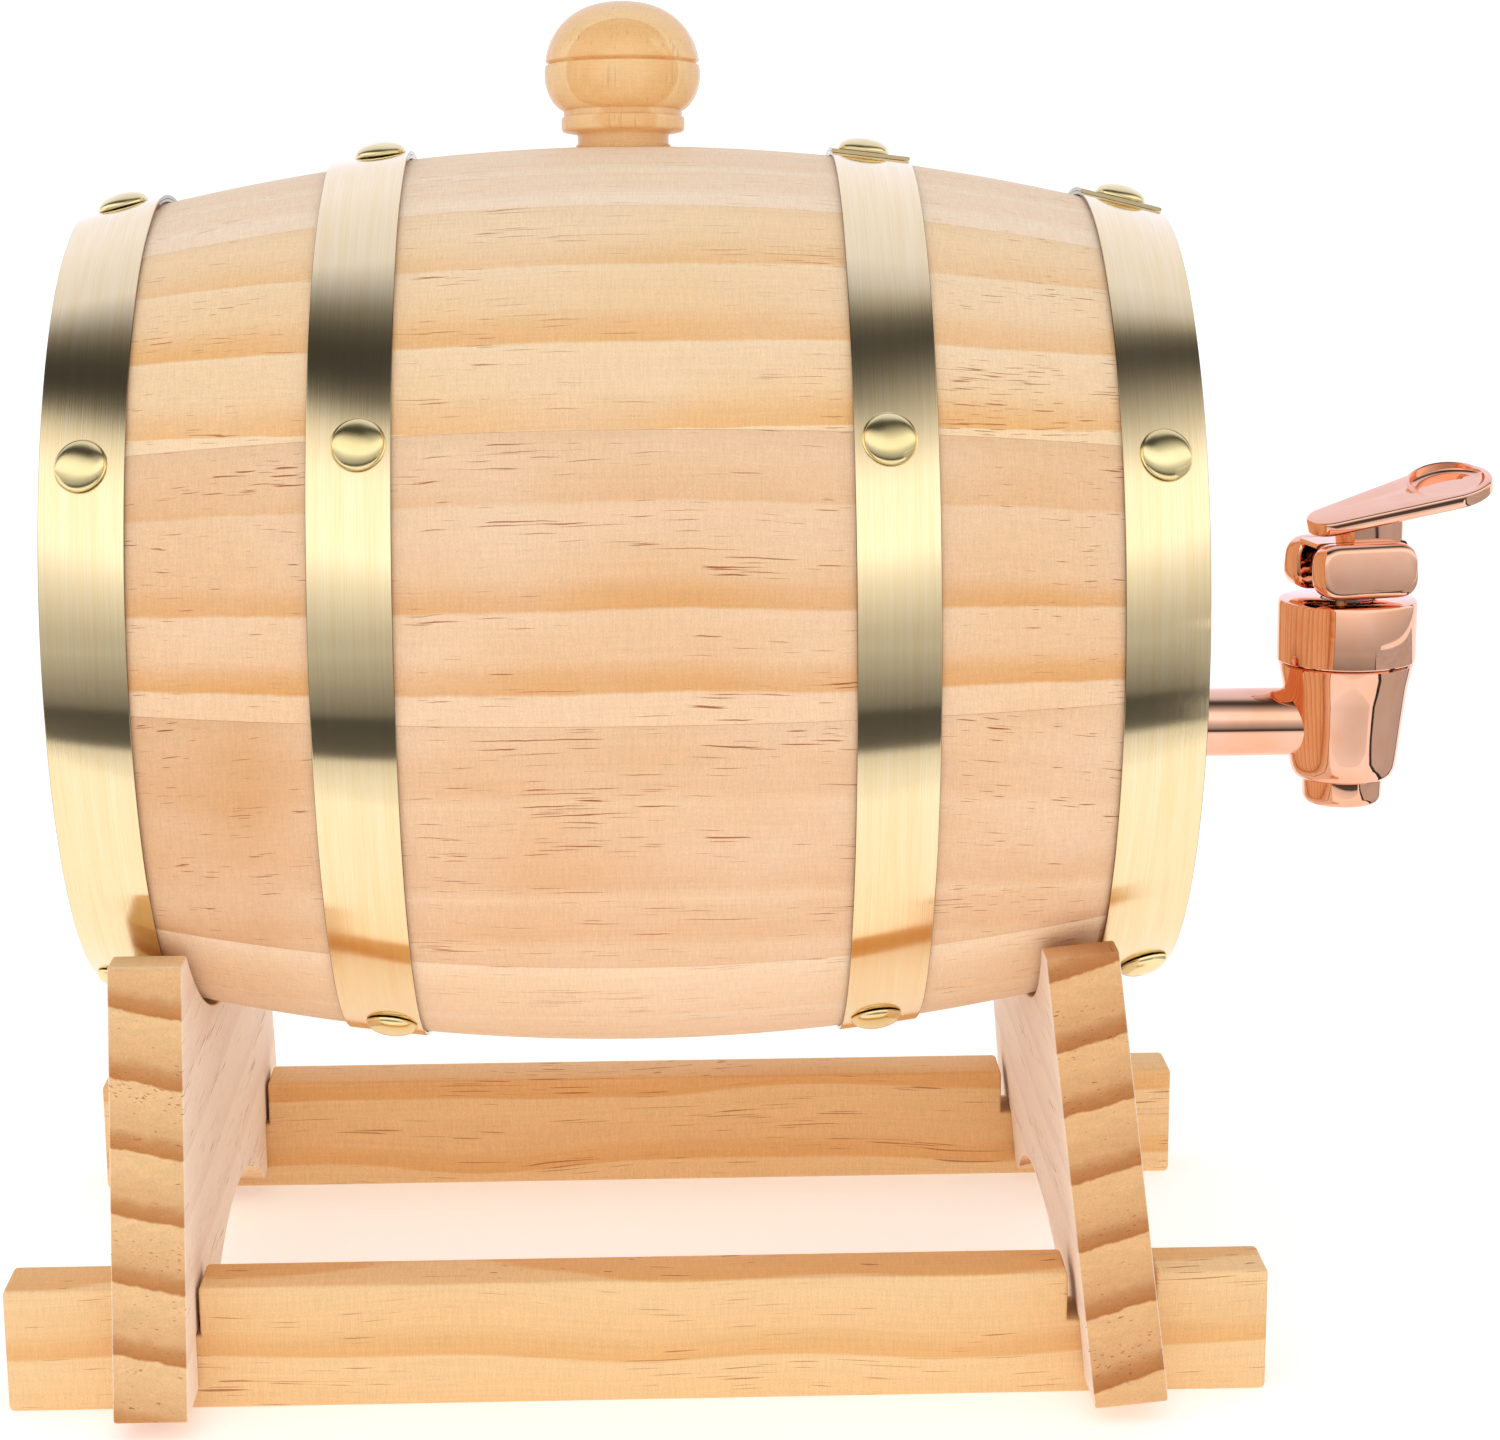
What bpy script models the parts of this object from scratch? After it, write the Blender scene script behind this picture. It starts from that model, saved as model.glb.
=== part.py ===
"""A small wine barrel lying in a notched cradle stand, with a pull-lever tap and a turned bung.

The barrel's axis runs along X and the camera side is -Y. Angles round the barrel are measured
from -Y towards +Z, so 90 degrees is the top. The stand rests on Z = 0, and the origin is under
the middle of the whole object's bounding box. Units are metres.
"""

import math

import bmesh
import bpy
from mathutils import Matrix, Vector

MM = 0.001
FIT = 0.3 * MM  # gap kept between pieces that touch
CUT_PAST = 5 * MM  # how far a cutter runs past the wall it cuts

# The barrel: a shell of staves whose outside is a shallow parabola along X.
BARREL_AXIS_Z = 137.5 * MM
BULGE_RADIUS = 85.0 * MM
BULGE_DROP = 1.338  # radius lost per square metre of distance from the middle
STAVE_HALF_LENGTH = 100.4 * MM
STAVE_THICKNESS = 10.0 * MM
CHIME = 3.0 * MM
FIRST_JOINT_DEG = -41.5
FRONT_STAVES_DEG = (36.2, 34.4, 35.2)  # widths, from the lowest up
BUNG_STAVE_DEG = 49.8
BACK_STAVES = 6
BACK_STAVE_DEG = (360.0 - sum(FRONT_STAVES_DEG) - BUNG_STAVE_DEG) / BACK_STAVES
JOINT_GAP_DEG = 0.28
STAVE_STEP_DEG = 9.0

# The heads: three upright boards each, held in the croze groove cut round the staves.
HEAD_INNER_X = 86.5 * MM
HEAD_OUTER_X = 93.0 * MM
CROZE_DEPTH = 2.8 * MM
HEAD_CENTRE_BOARD = 46.0 * MM

# The hoops: sheet bands nailed on, with the end lapped over the start near the top.
HOOP_THICKNESS = 0.6 * MM
HOOP_SLACK = 0.2 * MM
HOOP_STEPS = 64
HOOPS = (  # name, both ends along X, and the X of its nails
    ("left_outer", -100.8 * MM, -85.5 * MM, -93.3 * MM),
    ("left_inner", -54.2 * MM, -39.6 * MM, -45.2 * MM),
    ("right_inner", 38.8 * MM, 53.4 * MM, 44.9 * MM),
    ("right_outer", 85.5 * MM, 100.8 * MM, 93.3 * MM),
)
LAP_START_DEG = 84.0
LAP_DEG = 22.0
NAIL_ANGLES = (90.0, 28.0, -61.0, 200.0)
LOWER_NAIL_SHIFT = 2.0 * MM  # an outer hoop's lower nail stands further out, clear of the cradle board
NAIL_DOME_RADIUS = 4.8 * MM
NAIL_DOME_HEIGHT = 2.3 * MM
NAIL_SHANK_RADIUS = 0.9 * MM
NAIL_SHANK_LENGTH = 7.0 * MM
NAIL_HOLE_RADIUS = NAIL_SHANK_RADIUS + FIT
NAIL_STEPS = 10

# The bung: a turned knob whose plug stands in a radial hole a little behind the top.
BUNG_ANGLE = 96.5
BUNG_HOLE_RADIUS = 8.9 * MM
BUNG_PLUG_DEPTH = 14.0 * MM

# The tap, set in the right head below the barrel's axis.
TAP_X = 139.0 * MM
SHANK_Z = 111.3 * MM
SHANK_RADIUS = 6.65 * MM
SHANK_BORE = 3.6 * MM
SHANK_INNER_X = 78.0 * MM
SPOUT_Z = 95.3 * MM
SPOUT_RADIUS = 7.7 * MM
SPOUT_BORE = 5.6 * MM
SEAT_Z = 106.6 * MM
SEAT_RADIUS = 4.2 * MM
CHAMBER_RADIUS = 8.2 * MM
BODY_BOTTOM_Z = 100.2 * MM
SEAM_Z = 123.2 * MM
COLLAR_TOP_Z = 128.6 * MM
COLLAR_RADIUS = 10.4 * MM
BONNET_RADIUS = 13.4 * MM
BONNET_TOP_Z = 135.6 * MM
BONNET_WALL = 3.0 * MM
BONNET_HOLE = 5.0 * MM
STEM_RADIUS = 2.4 * MM
STEM_COLLAR_Z = 112.4 * MM
STEM_COLLAR_RADIUS = 6.2 * MM
SEAL_RADIUS = 6.4 * MM
SEAL_THICKNESS = 3.2 * MM
SPRING_TURNS = 5
SPRING_RADIUS = 4.3 * MM
SPRING_WIRE = 0.55 * MM
TAP_STEPS = 32

# The lever: a fork on the stem's cross pin, a short neck, and a paddle plate that rises outwards.
SWIVEL_DEG = 12.8  # the lever is turned this far from the shank's line at rest
PIN_Z = 142.0 * MM
PIN_RADIUS = 1.4 * MM
FORK_X = (-9.8 * MM, 10.6 * MM)
FORK_HEIGHT = (-5.2 * MM, 5.2 * MM)
FORK_HALF_WIDTH = 9.7 * MM
FORK_ROUND = 3.9 * MM
FORK_SLOT_HALF = 3.7 * MM
EYE_HALF_WIDTH = 3.3 * MM
EYE_RADIUS = 3.6 * MM
PLATE_RISE_DEG = 13.0
PLATE_TWIST_DEG = 10.0
PLATE_THICKNESS = 2.3 * MM
PLATE_HEEL = (-4.2 * MM, 4.6 * MM)  # centre along the plate, radius
PLATE_THUMB = (20.6 * MM, 8.7 * MM)
DISH_RADIUS = 6.9 * MM
DISH_DEPTH = 0.9 * MM

# The stand: two rails, notched on top, and two cradle boards, slotted underneath.
RAIL_LENGTH = 230.0 * MM
RAIL_HEIGHT = 23.3 * MM
RAIL_THICKNESS = 12.7 * MM
RAIL_OUTER_Y = 67.2 * MM
RAIL_EDGE = 1.0 * MM
NOTCH_FLOOR_Z = 14.0 * MM
LEFT_NOTCH_X = (-94.3 * MM, -79.7 * MM)
RIGHT_NOTCH_X = (78.3 * MM, 94.6 * MM)
BOARD_THICKNESS = 13.3 * MM
LEFT_BOARD_X = -87.0 * MM
RIGHT_BOARD_X = 88.5 * MM  # the middle of its foot
RIGHT_BOARD_LEAN_DEG = 5.6
BOARD_FOOT_Z = 3.8 * MM
BOARD_FOOT_Y = 83.5 * MM
BOARD_TIP_Y = 64.0 * MM
BOARD_TIP_Z = 82.9 * MM
CRADLE_RADIUS = 83.2 * MM
CRADLE_BOTTOM_Z = 60.6 * MM
ARCH_RADIUS = 85.0 * MM
ARCH_TOP_Z = 18.6 * MM

LEVER_REACH = 167.3 * MM  # the paddle's end, from the barrel's middle
CENTRE_X = (LEVER_REACH - RAIL_LENGTH / 2) / 2

WOOD_PALE = (0.86, 0.64, 0.43)
WOOD_STAND = (0.83, 0.52, 0.25)
WOOD_BUNG = (0.80, 0.47, 0.20)
BRASS = (0.86, 0.72, 0.48)
ROSE_GOLD = (0.86, 0.50, 0.36)
STEEL = (0.62, 0.60, 0.57)
SILICONE = (0.86, 0.86, 0.84)


def clear_scene():
    for obj in list(bpy.data.objects):
        bpy.data.objects.remove(obj, do_unlink=True)


def new_collection(name):
    collection = bpy.data.collections.new(name)
    bpy.context.scene.collection.children.link(collection)
    return collection


clear_scene()
PARTS = new_collection("wine_barrel")
CUTTERS = new_collection("cutters")
CUTTERS.hide_render = True


def make_material(name, colour, roughness, metallic):
    material = bpy.data.materials.new(name)
    material.use_nodes = True
    shader = material.node_tree.nodes["Principled BSDF"]
    shader.inputs["Base Color"].default_value = (*colour, 1.0)
    shader.inputs["Roughness"].default_value = roughness
    shader.inputs["Metallic"].default_value = metallic
    return material


MATERIALS = {
    "stave": make_material("stave_pine", WOOD_PALE, 0.55, 0.0),
    "head": make_material("head_pine", WOOD_PALE, 0.6, 0.0),
    "stand": make_material("stand_pine", WOOD_STAND, 0.6, 0.0),
    "bung": make_material("bung_varnish", WOOD_BUNG, 0.25, 0.0),
    "hoop": make_material("hoop_brass", BRASS, 0.3, 1.0),
    "nail": make_material("nail_brass", BRASS, 0.12, 1.0),
    "tap": make_material("tap_rose_gold", ROSE_GOLD, 0.08, 1.0),
    "steel": make_material("tap_inner_steel", STEEL, 0.25, 1.0),
    "silicone": make_material("silicone", SILICONE, 0.5, 0.0),
}


def empty(name, location, parent=None):
    """A named point that pieces hang from."""
    obj = bpy.data.objects.new(name, None)
    obj.empty_display_size = 10 * MM
    obj.location = location
    obj.parent = parent
    PARTS.objects.link(obj)
    return obj


FRAME = empty("frame", (-CENTRE_X, 0, 0))
BARREL = empty("barrel_axis", (0, 0, BARREL_AXIS_Z), FRAME)
TAP = empty("tap_axis", (TAP_X, 0, 0), FRAME)
LEVER = empty("lever_pivot", (0, 0, PIN_Z), TAP)
LEVER.rotation_euler = (0, 0, math.radians(SWIVEL_DEG))


def add_mesh(name, mesh, parent, material=None):
    """Link a mesh as a part, or as a cutter where it has no material."""
    obj = bpy.data.objects.new(name, mesh)
    obj.parent = parent
    if material:
        PARTS.objects.link(obj)
        mesh.materials.append(MATERIALS[material])
        return obj
    CUTTERS.objects.link(obj)
    obj.hide_render = True
    obj.display_type = "WIRE"
    return obj


def finish_bmesh(name, bm):
    bmesh.ops.recalc_face_normals(bm, faces=bm.faces)
    mesh = bpy.data.meshes.new(name)
    bm.to_mesh(mesh)
    bm.free()
    return mesh


def smooth(obj, degrees=35.0):
    obj.data.shade_smooth()
    obj.data.set_sharp_from_angle(angle=math.radians(degrees))


def box(name, low, high, parent, material=None, edge=0.0):
    """A rectangular block between two corners, with its edges eased where edge is given."""
    bm = bmesh.new()
    size = [b - a for a, b in zip(low, high)]
    middle = [(a + b) / 2 for a, b in zip(low, high)]
    bmesh.ops.create_cube(bm, size=1.0, matrix=Matrix.Translation(middle) @ Matrix.Diagonal((*size, 1)))
    obj = add_mesh(name, finish_bmesh(name, bm), parent, material)
    if edge:
        bevel = obj.modifiers.new("eased_edges", "BEVEL")
        bevel.width = edge
        bevel.segments = 1
    return obj


def cylinder(name, radius, start, end, parent, material=None, steps=24, end_radius=None):
    """A round bar from one point to another."""
    bm = bmesh.new()
    start = Vector(start)
    along = Vector(end) - start
    turn = along.to_track_quat("Z", "Y").to_matrix().to_4x4()
    place = Matrix.Translation(start + along / 2) @ turn
    bmesh.ops.create_cone(
        bm,
        cap_ends=True,
        segments=steps,
        radius1=radius,
        radius2=end_radius or radius,
        depth=along.length,
        matrix=place,
    )
    obj = add_mesh(name, finish_bmesh(name, bm), parent, material)
    smooth(obj)
    return obj


def turned(name, outline, parent, material, steps, closed=False):
    """A lathe piece about local Z. The outline's (radius, height) points run down the outside."""
    mesh = bpy.data.meshes.new(name)
    points = [(radius, 0.0, height) for radius, height in outline]
    edges = [(i, i + 1) for i in range(len(points) - 1)]
    if closed:
        edges.append((len(points) - 1, 0))
    mesh.from_pydata(points, edges, [])
    obj = add_mesh(name, mesh, parent, material)
    screw = obj.modifiers.new("lathe", "SCREW")
    screw.axis = "Z"
    screw.steps = steps
    screw.render_steps = steps
    screw.use_merge_vertices = True
    screw.merge_threshold = 0.01 * MM
    screw.use_smooth_shade = True
    return obj


def boolean(obj, operation, *others):
    for other in others:
        modifier = obj.modifiers.new(operation.lower() + "_" + other.name, "BOOLEAN")
        modifier.operation = operation
        modifier.solver = "EXACT"
        modifier.object = other


def outer_radius(x):
    """The wood's outside radius at a distance x from the barrel's middle."""
    return BULGE_RADIUS - BULGE_DROP * x * x


def surface_slope(x):
    """The angle by which the barrel's surface falls towards its end at x."""
    return math.atan(2 * BULGE_DROP * x)


def round_barrel(x, radius, degrees):
    """A point in the barrel's own frame."""
    angle = math.radians(degrees)
    return Vector((x, -radius * math.cos(angle), radius * math.sin(angle)))


def sector(name, profile, start_deg, width_deg, step_deg, material):
    """A solid swept round the barrel's axis from a closed (x, radius) profile."""
    bm = bmesh.new()
    verts = [bm.verts.new(round_barrel(x, radius, start_deg)) for x, radius in profile]
    face = bm.faces.new(verts)
    bmesh.ops.spin(
        bm,
        geom=[face, *face.edges, *face.verts],
        cent=(0, 0, 0),
        axis=(-1, 0, 0),
        angle=math.radians(width_deg),
        steps=max(1, round(width_deg / step_deg)),
        use_duplicate=False,
    )
    return add_mesh(name, finish_bmesh(name, bm), BARREL, material)


def stave_profile():
    """The stave's section along X: bulged outside, bevelled chime, croze groove and hollow inside."""
    groove_in = HEAD_INNER_X - FIT
    groove_out = HEAD_OUTER_X + FIT
    groove_radius = outer_radius(HEAD_INNER_X) - STAVE_THICKNESS + CROZE_DEPTH + FIT
    outside = [STAVE_HALF_LENGTH * i / 5 for i in range(-5, 6)]
    profile = [(x, outer_radius(x)) for x in outside]
    inside = [STAVE_HALF_LENGTH - CHIME, groove_out, groove_out, groove_in, groove_in, 0.045]
    depth = [0.0, 0.0, CROZE_DEPTH, CROZE_DEPTH, 0.0, 0.0]
    right = [(STAVE_HALF_LENGTH, outer_radius(STAVE_HALF_LENGTH) - STAVE_THICKNESS + CHIME)]
    for x, cut in zip(inside, depth):
        radius = groove_radius if cut else outer_radius(x) - STAVE_THICKNESS
        right.append((x, radius))
    left = [(-x, radius) for x, radius in reversed(right)]
    return profile + right + [(0.0, BULGE_RADIUS - STAVE_THICKNESS)] + left


def stave_joints():
    """The angle at which each stave starts, and its width."""
    widths = [*FRONT_STAVES_DEG, BUNG_STAVE_DEG] + [BACK_STAVE_DEG] * BACK_STAVES
    start = FIRST_JOINT_DEG
    for width in widths:
        yield start, width
        start += width


def hoop_surface(x):
    """The hoop's outside radius, over the gap, slack and sheet."""
    return outer_radius(x) + FIT + HOOP_SLACK + HOOP_THICKNESS


def nail_frame(x, degrees):
    """A frame on a hoop's outside whose Z points straight out of the sloping band."""
    foot = round_barrel(x, hoop_surface(x), degrees)
    radial = round_barrel(0.0, 1.0, degrees)
    slope = surface_slope(x)
    normal = radial * math.cos(slope) + Vector((math.sin(slope), 0, 0))
    return Matrix.Translation(foot) @ normal.to_track_quat("Z", "X").to_matrix().to_4x4()


def nail_x(middle, degrees):
    """A nail's X on its hoop. Only the outer hoops' lower nails are shifted, away from the boards."""
    shifted = degrees < 0 and abs(middle) > STAVE_HALF_LENGTH / 2
    return middle + math.copysign(LOWER_NAIL_SHIFT, middle) if shifted else middle


def lap_rise(degrees):
    """How far the lapped end lifts a nail head that stands on it."""
    on_lap = LAP_START_DEG < degrees < LAP_START_DEG + LAP_DEG
    return HOOP_THICKNESS if on_lap else 0.0


def make_nail(name, place, rise):
    """A domed upholstery nail standing on a hoop, its shank in the stave."""
    dome = [(0.0, NAIL_DOME_HEIGHT)]
    for i in range(1, 4):
        angle = math.radians(30 * i)
        dome.append((NAIL_DOME_RADIUS * math.sin(angle), NAIL_DOME_HEIGHT * math.cos(angle)))
    shank = [(NAIL_SHANK_RADIUS, 0.0), (NAIL_SHANK_RADIUS, -NAIL_SHANK_LENGTH), (0.0, -NAIL_SHANK_LENGTH)]
    nail = turned(name, dome + shank, BARREL, "nail", NAIL_STEPS)
    nail.matrix_local = place @ Matrix.Translation((0, 0, FIT + rise))


def nail_cutter(name, place):
    """The hole that a nail's shank stands in."""
    cutter = cylinder(
        name,
        NAIL_HOLE_RADIUS,
        (0, 0, CUT_PAST),
        (0, 0, -NAIL_SHANK_LENGTH - FIT),
        BARREL,
        steps=8,
    )
    cutter.matrix_local = place
    return cutter


def make_hoops_and_nails():
    """Four bands, each with its lap and four nails. Returns the nail cutters with their angles."""
    cutters = []
    for place_name, low, high, middle in HOOPS:
        name = "hoop_" + place_name
        inner = HOOP_SLACK + FIT
        outline = [
            (outer_radius(high) + inner + HOOP_THICKNESS, high),
            (outer_radius(low) + inner + HOOP_THICKNESS, low),
            (outer_radius(low) + inner, low),
            (outer_radius(high) + inner, high),
        ]
        hoop = turned(name, outline, BARREL, "hoop", HOOP_STEPS, closed=True)
        hoop.rotation_euler = (0, math.pi / 2, 0)
        lap_foot = inner + HOOP_THICKNESS / 2
        lap_top = inner + 2 * HOOP_THICKNESS
        lap = [
            (high, outer_radius(high) + lap_top),
            (low, outer_radius(low) + lap_top),
            (low, outer_radius(low) + lap_foot),
            (high, outer_radius(high) + lap_foot),
        ]
        tab = sector(name + "_lap", lap, LAP_START_DEG, LAP_DEG, LAP_DEG / 4, None)
        boolean(hoop, "UNION", tab)
        for number, degrees in enumerate(NAIL_ANGLES, start=1):
            place = nail_frame(nail_x(middle, degrees), degrees)
            label = "nail_%s_%d" % (place_name, number)
            make_nail(label, place, lap_rise(degrees))
            cutter = nail_cutter(label + "_hole", place)
            boolean(hoop, "DIFFERENCE", cutter)
            cutters.append((degrees, cutter))
    return cutters


def make_staves(nail_cutters):
    """The staves, each bored for the nails that land in it, and one for the bung."""
    profile = stave_profile()
    bung_hole = cylinder(
        "bung_hole",
        BUNG_HOLE_RADIUS,
        round_barrel(0, BULGE_RADIUS + CUT_PAST, BUNG_ANGLE),
        round_barrel(0, BULGE_RADIUS - STAVE_THICKNESS - CUT_PAST, BUNG_ANGLE),
        BARREL,
        steps=TAP_STEPS,
    )
    for number, (start, width) in enumerate(stave_joints(), start=1):
        body = sector(
            "stave_%02d" % number,
            profile,
            start + JOINT_GAP_DEG / 2,
            width - JOINT_GAP_DEG,
            STAVE_STEP_DEG,
            "stave",
        )
        for degrees, cutter in nail_cutters:
            if (degrees - start) % 360 < width:
                boolean(body, "DIFFERENCE", cutter)
        if (BUNG_ANGLE - start) % 360 < width:
            boolean(body, "DIFFERENCE", bung_hole)


def make_heads():
    """Each head is a disc in three upright boards, chamfered into the croze."""
    rim = outer_radius(HEAD_INNER_X) - STAVE_THICKNESS + CROZE_DEPTH
    half = HEAD_CENTRE_BOARD / 2
    strips = (("rear", half + FIT, 2 * rim), ("middle", -half, half), ("front", -2 * rim, -half - FIT))
    shank_hole = cylinder(
        "shank_hole",
        SHANK_RADIUS + FIT,
        (HEAD_INNER_X - CUT_PAST, 0, SHANK_Z - BARREL_AXIS_Z),
        (HEAD_OUTER_X + CUT_PAST, 0, SHANK_Z - BARREL_AXIS_Z),
        BARREL,
    )
    for side, end in (("left", -1), ("right", 1)):
        x_low, x_high = sorted((end * HEAD_INNER_X, end * HEAD_OUTER_X))
        outline = [(0, x_high), (rim - MM, x_high), (rim, x_high - MM), (rim, x_low + MM)]
        outline += [(rim - MM, x_low), (0, x_low)]
        for place, y_low, y_high in strips:
            name = "head_%s_%s" % (side, place)
            board = turned(name, outline, BARREL, "head", 48)
            board.rotation_euler = (0, math.pi / 2, 0)
            strip = box(name + "_strip", (-0.2, y_low, -0.2), (0.2, y_high, 0.2), BARREL)
            boolean(board, "INTERSECT", strip)
            if place == "middle" and side == "right":
                boolean(board, "DIFFERENCE", shank_hole)


def make_bung():
    """The knob: a grooved ball over a collar and neck, on a tapered plug."""
    ball = 14.7 * MM
    widest = 13.7 * MM
    crown = 13.3 * MM
    groove = 15.5 * MM
    outline = [(0.0, widest + crown)]
    for degrees in (20, 40, 58, 72):
        angle = math.radians(degrees)
        outline.append((ball * math.sin(angle), widest + crown * math.cos(angle)))
    outline += [
        (14.55 * MM, groove + 0.5 * MM),
        (14.0 * MM, groove),
        (14.65 * MM, groove - 0.5 * MM),
        (ball, widest),
        (14.3 * MM, 10.6 * MM),
        (13.3 * MM, 8.2 * MM),
        (11.7 * MM, 6.3 * MM),
        (11.5 * MM, 3.4 * MM),
        (8.6 * MM, 2.6 * MM),
        (8.6 * MM, -1.0 * MM),
        (7.4 * MM, -BUNG_PLUG_DEPTH),
        (0.0, -BUNG_PLUG_DEPTH),
    ]
    bung = turned("bung", outline, BARREL, "bung", 28)
    foot = round_barrel(0, BULGE_RADIUS, BUNG_ANGLE)
    bung.matrix_local = Matrix.Translation(foot) @ Matrix.Rotation(
        math.radians(BUNG_ANGLE - 90), 4, (-1, 0, 0)
    )


def make_tap_body():
    """The tapering barrel of the tap, open at both ends, with a side hole for the shank."""
    outline = [
        (CHAMBER_RADIUS, COLLAR_TOP_Z),
        (COLLAR_RADIUS, COLLAR_TOP_Z),
        (COLLAR_RADIUS, SEAM_Z),
        (13.1 * MM, SEAM_Z),
        (12.2 * MM, 113.0 * MM),
        (10.6 * MM, 104.0 * MM),
        (10.3 * MM, 101.8 * MM),
        (9.2 * MM, 100.4 * MM),
        (CHAMBER_RADIUS, BODY_BOTTOM_Z),
    ]
    body = turned("tap_body", outline, TAP, "tap", TAP_STEPS, closed=True)
    hole = cylinder("shank_socket", SHANK_RADIUS + FIT, (-0.02, 0, SHANK_Z), (-4 * MM, 0, SHANK_Z), TAP)
    boolean(body, "DIFFERENCE", hole)


def make_spout():
    """The nozzle, pushed up into the body, with the valve seat as its upper end."""
    inside = CHAMBER_RADIUS - FIT
    outline = [
        (SEAT_RADIUS, SEAT_Z),
        (inside, SEAT_Z),
        (inside, BODY_BOTTOM_Z + FIT),
        (SPOUT_RADIUS, BODY_BOTTOM_Z),
        (SPOUT_RADIUS, SPOUT_Z + 1.2 * MM),
        (SPOUT_RADIUS - 1.0 * MM, SPOUT_Z),
        (SPOUT_BORE, SPOUT_Z),
        (SPOUT_BORE, SEAT_Z - 3.0 * MM),
        (SEAT_RADIUS, SEAT_Z - 1.6 * MM),
    ]
    turned("tap_spout", outline, TAP, "tap", TAP_STEPS, closed=True)


def make_shank():
    """The bored shank through the barrel's head, with the flange that clamps on the outer washer."""
    x_inner = SHANK_INNER_X - TAP_X
    x_outer = -CHAMBER_RADIUS - 0.5 * MM
    flange_x = HEAD_OUTER_X + 2.4 * MM - TAP_X
    flange_end = flange_x + 2.2 * MM
    outline = [
        (SHANK_BORE, x_outer),
        (SHANK_RADIUS, x_outer),
        (SHANK_RADIUS, flange_end),
        (10.0 * MM, flange_end),
        (10.0 * MM, flange_x),
        (SHANK_RADIUS, flange_x),
        (SHANK_RADIUS, x_inner),
        (SHANK_BORE, x_inner),
    ]
    shank = turned("tap_shank", outline, TAP, "tap", TAP_STEPS, closed=True)
    shank.matrix_local = Matrix.Translation((0, 0, SHANK_Z)) @ Matrix.Rotation(math.pi / 2, 4, "Y")


def make_bonnet():
    """The cap over the body's collar, with a hole for the guide bush."""
    roof = BONNET_TOP_Z - BONNET_WALL
    outline = [
        (BONNET_HOLE + FIT, BONNET_TOP_Z),
        (BONNET_RADIUS - 0.8 * MM, BONNET_TOP_Z),
        (BONNET_RADIUS, BONNET_TOP_Z - 0.8 * MM),
        (BONNET_RADIUS, SEAM_Z + FIT),
        (COLLAR_RADIUS + FIT, SEAM_Z + FIT),
        (COLLAR_RADIUS + FIT, roof),
        (BONNET_HOLE + FIT, roof),
    ]
    turned("tap_bonnet", outline, TAP, "tap", TAP_STEPS, closed=True)


def make_stem_parts():
    """What turns with the lever: the bush, the stem with its eye, the spring and the seal."""
    roof = BONNET_TOP_Z - BONNET_WALL
    bush = [
        (STEM_RADIUS + FIT, BONNET_TOP_Z),
        (BONNET_HOLE, BONNET_TOP_Z),
        (BONNET_HOLE, roof - FIT),
        (7.4 * MM, roof - FIT),
        (7.4 * MM, roof - 1.6 * MM),
        (STEM_RADIUS + FIT, roof - 1.6 * MM),
    ]
    turned("stem_guide_bush", bush, TAP, "steel", 24, closed=True)
    seal_top = SEAT_Z + FIT + SEAL_THICKNESS
    stem_outline = [
        (0.0, PIN_Z - 2.6 * MM),
        (STEM_RADIUS, PIN_Z - 2.6 * MM),
        (STEM_RADIUS, STEM_COLLAR_Z + 1.6 * MM),
        (STEM_COLLAR_RADIUS, STEM_COLLAR_Z + 1.6 * MM),
        (STEM_COLLAR_RADIUS, STEM_COLLAR_Z),
        (STEM_RADIUS, STEM_COLLAR_Z),
        (STEM_RADIUS, seal_top + FIT),
        (1.2 * MM, seal_top + FIT),
        (1.2 * MM, SEAT_Z + FIT),
        (0.0, SEAT_Z + FIT),
    ]
    stem = turned("tap_stem", stem_outline, TAP, "steel", 24)
    eye = cylinder("eye", EYE_RADIUS, (0, -EYE_HALF_WIDTH, 0), (0, EYE_HALF_WIDTH, 0), LEVER)
    pin_hole = cylinder("stem_pin_hole", PIN_RADIUS + FIT, (0, -0.01, 0), (0, 0.01, 0), LEVER, steps=16)
    boolean(stem, "UNION", eye)
    boolean(stem, "DIFFERENCE", pin_hole)
    seal = [
        (1.2 * MM + FIT, seal_top),
        (SEAL_RADIUS, seal_top),
        (SEAL_RADIUS, SEAT_Z + FIT),
        (1.2 * MM + FIT, SEAT_Z + FIT),
    ]
    turned("tap_seal", seal, TAP, "silicone", 24, closed=True)
    make_spring(STEM_COLLAR_Z + 1.6 * MM + FIT + SPRING_WIRE, roof - 1.6 * MM - FIT - SPRING_WIRE)


def make_spring(low, high):
    """The compression spring round the stem, as one round wire."""
    curve = bpy.data.curves.new("tap_spring", "CURVE")
    curve.dimensions = "3D"
    curve.bevel_depth = SPRING_WIRE
    curve.bevel_resolution = 1
    curve.use_fill_caps = True
    spline = curve.splines.new("POLY")
    points = SPRING_TURNS * 12
    spline.points.add(points)
    for i in range(points + 1):
        angle = math.tau * SPRING_TURNS * i / points
        height = low + (high - low) * i / points
        spline.points[i].co = (SPRING_RADIUS * math.cos(angle), SPRING_RADIUS * math.sin(angle), height, 1)
    curve.materials.append(MATERIALS["steel"])
    spring = bpy.data.objects.new("tap_spring", curve)
    spring.parent = TAP
    PARTS.objects.link(spring)


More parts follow.
